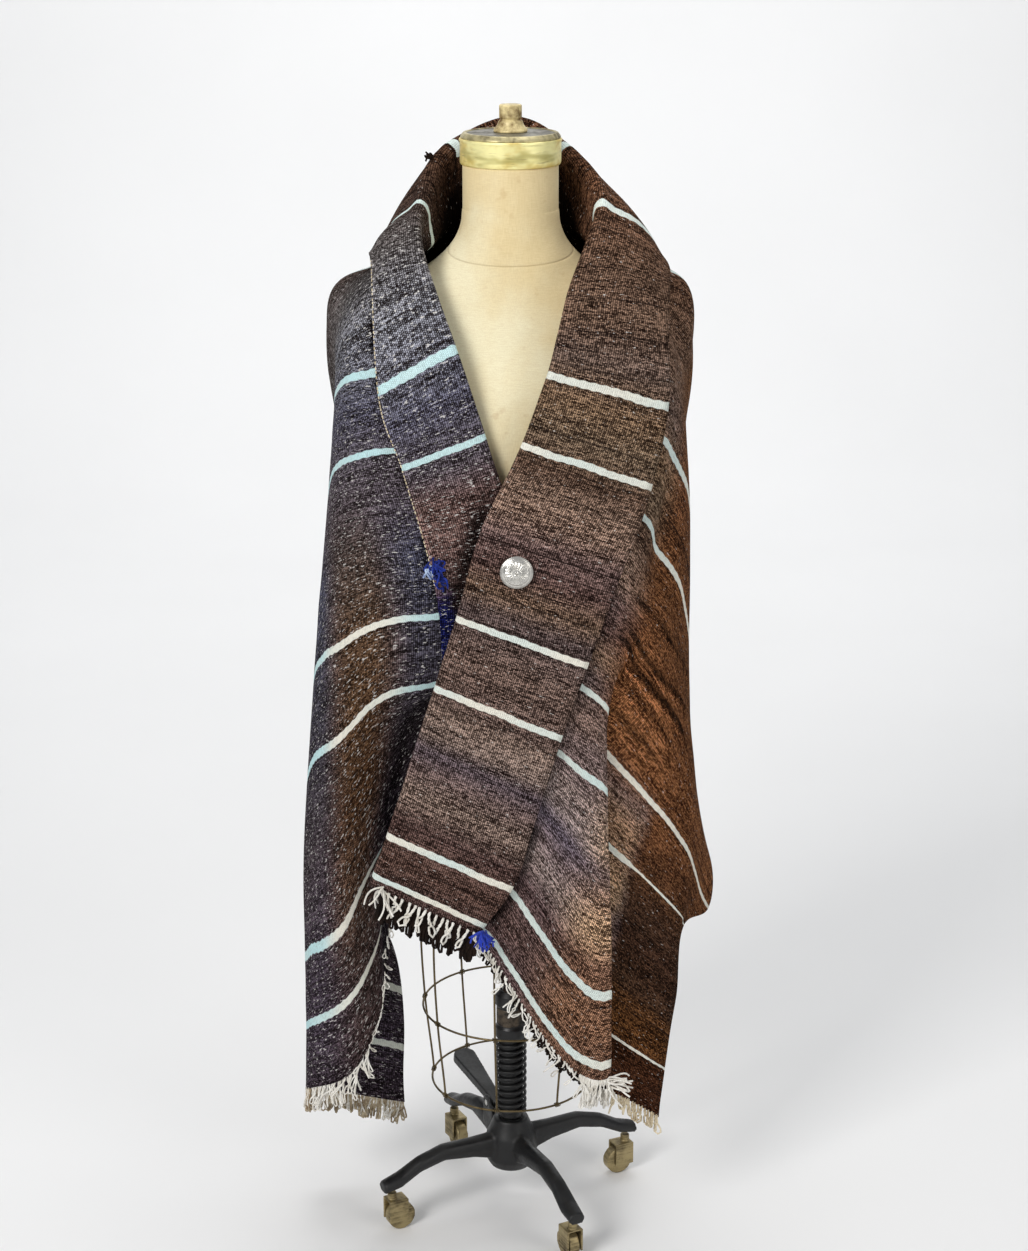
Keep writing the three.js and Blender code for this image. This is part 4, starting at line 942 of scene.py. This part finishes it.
def blanket():
    """The whole cloth in one mesh, with its woven coordinates, stripes and colours, its colours holding painted
    shade and highlights.
    """
    places, rows, across = blanket_grid()
    cover = covered(places, across)
    places = places + grid_normals(places) * relief(rows, across)[..., None]
    columns = across.shape[1]
    band_rows = int(np.searchsorted(rows[:, 0], BAND_END))
    faces = []
    for i in range(len(rows) - 1):
        for j in range(0 if i < band_rows else BAND_COLUMNS, columns - 1):
            a = i * columns + j
            faces.append((a, a + columns, a + columns + 1, a + 1))
    piece = mesh_object("blanket", places.reshape(-1, 3) * MM, faces)
    mesh = piece.data
    woven = np.stack([rows, across], axis=-1).reshape(-1, 2) * MM
    loops = np.empty(len(mesh.loops), dtype=np.int32)
    mesh.loops.foreach_get("vertex_index", loops)
    mesh.uv_layers.new(name="weave").data.foreach_set("uv", woven[loops].astype(np.float32).ravel())
    measured(mesh, "stripe", stripe_distance(rows, across))
    measured(mesh, "aqua", blueness(rows, across))
    tint = np.concatenate([tints(rows, across, cover), np.ones(across.shape + (1,))], axis=-1)
    mesh.color_attributes.new("tint", "FLOAT_COLOR", "POINT").data.foreach_set(
        "color", tint.astype(np.float32).ravel())
    loose = bmesh.new()
    loose.from_mesh(mesh)
    bmesh.ops.delete(loose, geom=[v for v in loose.verts if not v.link_faces], context="VERTS")
    loose.to_mesh(mesh)
    loose.free()
    wall = piece.modifiers.new("wall", "SOLIDIFY")
    wall.thickness = CLOTH * MM
    wall.offset = 0
    nodes = ["front_right", "front_right_outer", "side_right", "shoulder_right", "collar_stand", "back_right",
             "back_left", "shoulder_left", "front_left", "side_left", "lapel_right", "collar", "lapel_left"]
    return dressed(applied(piece), "wool", nodes)


# ---- the fringe and the yarn ----
def loop_path(start, along, side, reach, wild, rng, open_to):
    """One twisted warp loop: out of the cloth, bending down, and back beside itself."""
    turns = rng.uniform(0.8, 2.4)
    phase = rng.uniform(0, math.tau)
    front = unit(np.cross(along, side))
    sway = side * rng.uniform(-0.5, 0.5) * wild + front * rng.uniform(-0.35, 0.25) * wild
    curl = side * rng.uniform(-1, 1) * wild + front * rng.uniform(-0.4, 0.3) * wild
    droop = np.array([0, 0, -1.0])
    centre, place = [], start - along * 2.0
    for n in range(LOOP_STEPS + 1):
        t = n / LOOP_STEPS
        centre.append(place)
        heading = along * (1 - 0.8 * t) + sway * (0.3 + 0.9 * t) + curl * math.sin(2.6 * t)
        place = place + unit(heading + droop * (0.2 + 0.9 * t)) * reach / LOOP_STEPS
    out, back = [], []
    spread = rng.uniform(0.8, open_to)
    for n, c in enumerate(centre):
        t = n / LOOP_STEPS
        width = 0.7 + spread * smoothstep(0.35, 0.9, t)
        angle = phase + turns * math.tau * min(t, 0.7)
        offset = (side * math.cos(angle) + front * math.sin(angle)) * width
        out.append(c + offset)
        back.append(c - offset)
    tip = centre[-1] + unit(centre[-1] - centre[-2]) * spread
    return np.array(out + [tip] + back[::-1]) * MM


def end_line(end, first, last):
    """Points along one end of the cloth, or of its lapel, and the way the warp leaves each."""
    if end == "lapel":
        outer, inner = band_line(0)[5:], band_line(6)[5:]
        knots = np.arange(len(outer))
        fine = np.linspace(0, len(outer) - 1, 40)
        outer, inner = spline(knots, outer, fine), spline(knots, inner, fine)
    else:
        warp, inward = FRINGE_ENDS[end]
        rails = np.linspace(first, last, 60)
        outer, inner = cloth_points(warp, rails), cloth_points(inward, rails)
    return outer, unit(outer - inner)


def fringe(row):
    """Loops along one end of the cloth, about a pitch apart."""
    ends, along = end_line(row["end"], row["first"], row["last"])
    rng = np.random.default_rng(row["seed"])
    length = lengths(ends)
    paths = []
    place = rng.uniform(1, row["pitch"])
    while place < length[-1] - 1:
        start = along_line(place, length, ends) - (0, row["lift"], 0)
        heading = unit(along_line(place, length, along))
        side = unit(along_line(place + 4, length, ends) - along_line(max(place - 4, 0), length, ends))
        side = unit(side - heading * np.dot(side, heading))
        reach = row["reach"] * rng.uniform(*LOOP_REACH)
        paths.append(loop_path(start, heading, side, reach, row["wild"], rng, row["open"]))
        place += row["pitch"] * rng.uniform(*LOOP_PITCH)
    piece = tubes(row["name"], paths, row["radius"] * MM)
    return dressed(piece, "fringe", [row["node"]] if row["node"] else (), row["yarn"])


def tuft(name, anchor, replaces=()):
    """A small bunch of loose yarn ends from one place."""
    row = TUFTS[name]
    rng = np.random.default_rng(row["seed"])
    paths = []
    for _ in range(row["count"]):
        start = anchor + np.array(row["offset"], float) + rng.uniform(-1, 1, 3) * row["spread"]
        heading = unit(np.array(row["heading"], float) + rng.uniform(-0.7, 0.7, 3))
        end = heading * row["reach"] * rng.uniform(0.6, 1.0)
        bend = rng.uniform(-row["curl"], row["curl"], 3) * row["reach"]
        path = [start + end * t + bend * math.sin(math.pi * t) * 0.5 for t in np.linspace(0, 1, 8)]
        paths.append(np.array(path) * MM)
    return dressed(tubes(name, paths, YARN * MM), "yarn", replaces, row["yarn"])


def fringes():
    rows = [fringe(row) for row in FRINGES]
    return rows + [tuft("right_front_spray", cloth_points(0, SPRAY_RAIL)[0]),
                   tuft("lapel_corner_ends", end_line("lapel", 0, 0)[0][0])]


def selvedge():
    """Pale selvedge stitches showing along the left lapel's free edge."""
    rng = np.random.default_rng(STITCHES["seed"])
    line = np.array([band_line(warp)[-1] for warp in np.arange(*STITCHES["warps"], STITCHES["step"])])
    length = lengths(line)
    paths, at = [], 3.0
    while at < length[-1] - 6:
        reach = rng.uniform(*STITCHES["reach"])
        stitch = along_line(np.linspace(at, at + reach, 5), length, line)
        stitch[:, 1] -= 1.2 + 0.9 * np.sin(np.linspace(0, math.pi, 5))
        paths.append(stitch * MM)
        at += reach + rng.uniform(*STITCHES["gap"])
    dressed(tubes("selvedge_stitches", paths, STITCHES["radius"] * MM), "wool", material="fringe_warm")


def loose_yarn():
    """The tassel, the selvedge's stitches and the tufts in the lap and beside the neck."""
    low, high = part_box("corner_tassel")
    tuft("blue_tassel", ((low[0] + high[0]) / 2 / MM, (low[1] + high[1]) / 2 / MM, high[2] / MM), ["corner_tassel"])
    selvedge()
    for name in ("blue_tuft", "blue_tuft_low", "blue_tuft_pale"):
        tuft(name, band_line(LAP_TUFT_WARP)[-1])
    tuft("dark_tuft", band_line(DARK_TUFT_WARP)[4])


# ---- the button ----
def button():
    """A domed concho: rayed centre, plain ring, fine rope edge, on a short shank."""
    low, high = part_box("button")
    middle = Vector([(a + b) / 2 for a, b in zip(low, high)])
    radius = (high[0] - low[0]) / 2
    back = high[1]
    depth = back - low[1]
    rings, spokes = CONCHO["rings"], CONCHO["spokes"]
    angles = [2 * math.pi * k / spokes for k in range(spokes)]

    def point(reach, angle, y):
        return (middle.x + radius * reach * math.cos(angle), y, middle.z + radius * reach * math.sin(angle))

    points = []
    for i in range(rings + 1):
        r = i / rings
        shares = {"foot": 1, "dome": 1 - r**2.6, "ring": -math.exp(-((r - 0.78) / 0.03) ** 2)}
        for angle in angles:
            shares["ray"] = math.cos(20 * angle) * window(r, (0.24, 0.34), (0.62, 0.72))
            shares["petal"] = abs(math.cos(4 * angle)) * window(r, None, (0.1, 0.26))
            shares["rope"] = math.cos(48 * angle + 60 * r) * window(r, (0.86, 0.89), (0.95, 0.98))
            height = sum(CONCHO[name] * share for name, share in shares.items())
            points.append(point(0.995 * r, angle, back - 0.0026 - (depth - 0.003) * height))
    points += [point(0.93, angle, back - 0.0028) for angle in angles]
    faces = ring_faces(rings + 2, spokes)
    base = (rings + 1) * spokes
    points.append((middle.x, back - 0.0028, middle.z))
    faces += [(base + k, base + (k + 1) % spokes, len(points) - 1) for k in range(spokes)]
    dressed(welded(mesh_object("concho", points, faces), 1e-7), "silver", ["button"])
    shank = turned("shank", [(0, 0), (0.004, 0), (0.004, 0.004), (0, 0.004)], 20)
    place = Matrix.Translation((middle.x, back - 0.0001, middle.z))
    shank.data.transform(place @ Matrix.Rotation(math.pi / 2, 4, "X"))
    dressed(shank, "silver", material="steel")


# ---- the form ----
def torso():
    """The padded torso, smooth between its levels, with seams drawn in."""
    values = np.array([[row["z"], row["half"], row["front"], row["back"]] for row in TORSO], float)
    knots = lengths(values[:, :2])
    chest = knots[-FLARE_LEVELS]
    places = np.concatenate([np.linspace(0, chest, TORSO_MESH["body"]),
                             np.linspace(chest, knots[-1], TORSO_MESH["flare"])[1:]])
    levels = spline(knots, values, places)
    sides = TORSO_MESH["sides"]
    points, seams = [], []
    upright_at = [math.radians(a) for a in SEAM_ANGLES]
    for z, half, front, back in levels:
        for angle in np.linspace(0, 2 * math.pi, sides, endpoint=False):
            depth = front if math.sin(angle) < 0 else back
            points.append((half * math.cos(angle), depth * math.sin(angle), z))
            near = min(abs((angle - a + math.pi) % math.tau - math.pi) for a in upright_at) * half
            neckline = NECKLINE["front"] + NECKLINE["rise"] * (1 + math.sin(angle))
            upright = math.exp(-(near / SEAM_HALF) ** 2) if z < neckline else 0.0
            level = NECKLINE["depth"] * math.exp(-((z - neckline) / NECKLINE["half"]) ** 2)
            seams.append(max(upright, level))
    top = (len(levels) - 1) * sides
    faces = ring_faces(len(levels), sides)
    faces += [tuple(range(sides - 1, -1, -1)), tuple(range(top, top + sides))]
    piece = mesh_object("torso_cover", np.array(points) * MM, faces)
    measured(piece.data, "seam", seams)
    dressed(piece, "linen", ["torso"])


def neck():
    """The neck, standing in the torso's flared top."""
    low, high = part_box("neck")
    radius, root = high[0], low[2] - 0.034
    side = [(radius - 0.0012 + 0.0010 * (1 - t) ** 3, root + t * (high[2] - root)) for t in np.linspace(0, 1, 60)]
    dressed(turned("neck_cover", [(0, root)] + side + [(0, high[2])], 128), "linen", ["neck"])


def cap():
    """The brass-coloured neck band, its rimmed lid and the turned knob."""
    low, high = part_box("neck_cap")
    r, a, b = high[0], low[2], high[2]
    profile = [(0, a), (r - 0.0026, a), (r - 0.0016, a + 0.0012), (r - 0.0012, a + 0.003), (r - 0.0012, b - 0.004),
               (r - 0.0004, b - 0.003), (r - 0.0004, b - 0.001), (r - 0.0014, b), (0, b)]
    lathe("cap_band", profile, 0.0006, 3, 128, "brass", ["neck_cap"], "cap_brass")
    low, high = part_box("cap_lid")
    top = low[2] + 0.0052
    profile = [(r - 0.0100, b - 0.001), (r - 0.0030, b - 0.001), (r - 0.0016, b + 0.0012), (r - 0.0022, b + 0.0026),
               (r - 0.0052, top + 0.0008), (r - 0.0085, top + 0.0012), (r - 0.0100, top - 0.0006)]
    lathe("lid_rim", profile + profile[:1], 0.0006, 3, 128, "brass", (), "rim_brass")
    profile = [(0, b - 0.001), (r - 0.0092, b - 0.001), (r - 0.0092, top), (r * 0.5, top + 0.0008),
               (r * 0.3, top + 0.0010), (0, top + 0.0010)]
    lathe("lid", profile, 0.0008, 3, 128, "steel", ["cap_lid"], "lid_steel")
    low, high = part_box("cap_knob")
    a, b = low[2], high[2]
    profile = [(0, a), (0.0195, a), (0.0200, a + 0.0020), (0.0180, a + 0.0045), (0.0150, a + 0.0085),
               (0.0142, a + 0.0120), (0.0120, a + 0.0135), (0.0118, a + 0.0150), (0.0132, a + 0.0160),
               (0.0132, b - 0.0012), (0.0122, b), (0, b)]
    knob = lathe("knob", profile, 0.0008, 3, 96, "ivory", ["cap_knob"])
    for vertex in knob.data.vertices:
        x, y, z = vertex.co
        if z > a + 0.0155:
            groove = 1 - 0.06 * max(0.0, math.cos(9 * math.atan2(y, x))) ** 6
            vertex.co = (x * groove, y * groove, z)


def cage():
    """The wire cage: upright ribs, two hoops and the binding where they cross."""
    levels = CAGE_LEVELS[::-1]
    heights = np.linspace(levels[0]["z"], levels[-1]["z"], 24)
    radii = spline([level["z"] for level in levels], [level["radius"] for level in levels], heights)
    angles = [math.radians(CAGE_FIRST + 360 * k / CAGE_RIBS) for k in range(CAGE_RIBS)]
    ribs = [[np.array(around(r, angle, z)) * MM for r, z in zip(radii, heights)] for angle in angles]
    dressed(tubes("cage_ribs", ribs, CAGE_WIRE * MM, resolution=2), "wire", ["cage"])
    hooped = CAGE_LEVELS[2:]
    hoops = [[np.array(around(level["radius"], a, level["z"])) * MM
              for a in np.linspace(0, math.tau, 72, endpoint=False)] for level in hooped]
    dressed(tubes("cage_hoops", hoops, CAGE_WIRE * MM, closed=True, resolution=2), "wire")
    binds = []
    for level in hooped:
        for angle in angles:
            out = np.array(around(1, angle, 0))
            side = np.array([-math.sin(angle), math.cos(angle), 0])
            middle = out * level["radius"] + np.array([0, 0, level["z"]])
            binds.append([(middle + out * 2.6 * math.cos(3 * t) + side * (t - math.pi) * 1.1
                           + np.array([0, 0, 2.6 * math.sin(3 * t)])) * MM for t in np.linspace(0, math.tau, 30)])
    dressed(tubes("cage_binding", binds, CAGE_BINDING * MM), "wire")


# ---- the stand ----
def softened(name, node, voxel, body, slot, passes):
    """A casting's rounded surface over a CAD node: remeshed and smoothed."""
    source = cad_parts[node]
    copy = bpy.data.objects.new(name, source.data.copy())
    copy.matrix_world = source.matrix_world
    scene.collection.objects.link(copy)
    remesh = copy.modifiers.new("remesh", "REMESH")
    remesh.mode = "VOXEL"
    remesh.voxel_size = voxel * MM
    smooth = copy.modifiers.new("smooth", "SMOOTH")
    smooth.factor = 0.5
    smooth.iterations = passes
    dressed(applied(copy), slot, [node], body=body)


def column():
    """The column's tube, its clamp with a screw, the coil spring and the pole."""
    low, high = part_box("column_tube")
    r = high[0]
    profile = [(r - 0.003, low[2]), (r - 0.0002, low[2]), (r - 0.0002, high[2]), (r - 0.003, high[2])]
    lathe("tube", profile, 0.0008, 4, 64, "iron", ["column_tube"], body="base")
    low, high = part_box("column_collar")
    r, a, b = high[0], low[2], high[2]
    inner = r - 0.007
    profile = [(inner, a), (r - 0.002, a), (r, a + 0.003), (r, a + 0.016), (r - 0.0025, a + 0.019),
               (r - 0.0025, b - 0.024), (r, b - 0.021), (r, b - 0.007), (r - 0.005, b), (inner, b), (inner, a)]
    lathe("clamp", profile, 0.0012, 4, 72, "iron", ["column_collar"], body="base")
    profile = [(r - 0.0024, a + 0.020), (r - 0.0016, a + 0.021), (r - 0.0016, b - 0.026), (r - 0.0024, b - 0.025)]
    lathe("clamp_patch", profile, 0.0006, 4, 72, "iron", (), "rust", "base")
    profile = [(0, 0), (0.0045, 0), (0.0045, 0.006), (0.0035, 0.0075), (0, 0.0075)]
    screw = lathe("clamp_screw", profile, 0.0006, 4, 24, "iron", (), "steel", "base")
    screw.data.transform(Matrix.Rotation(math.radians(-90), 4, "X"))
    screw.data.transform(Matrix.Translation((0, r - 0.006, (a + b) / 2)))
    low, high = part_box("column_spring")
    r, a, b = high[0] - SPRING["wire"], low[2] + SPRING["inset"], high[2] - SPRING["inset"]
    turns = SPRING["turns"]
    path = []
    for t in np.linspace(0, 1, turns * 28 + 1):
        rise = a + (b - a) * (0.12 * smoothstep(0, 1, t) + 0.88 * t)
        path.append(around(r, math.tau * turns * t, rise))
    dressed(tubes("spring", [path], SPRING["wire"], resolution=3), "iron", ["column_spring"], body="base")
    low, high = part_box("pole")
    r = high[0]
    profile = [(0, low[2]), (r - 0.001, low[2]), (r, low[2] + 0.001), (r, high[2]), (0, high[2])]
    dressed(turned("pole_rod", profile, 48), "steel", ["pole"])


def stand():
    """The casters, the cast base and its pedal."""
    for k in range(1, CASTERS + 1):
        softened(f"fork_{k}", f"caster_fork_{k}", 0.9, f"caster_swivel_{k}", "brass", 3)
        softened(f"wheel_{k}", f"caster_wheel_{k}", 1.1, f"caster_roller_{k}", "brass", 3)
    softened("casting", "base_casting", 1.9, "base", "iron", 8)
    softened("pedal", "foot_pedal", 1.2, "pedal", "iron", 8)
    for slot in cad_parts["pedal_pin"].material_slots:
        slot.material = MATERIALS["steel"]


camera()
backdrop()
studio()
cloth = blanket()
loops = fringes()
button()
torso()
neck()
cap()
cage()
column()
stand()
loose_yarn()
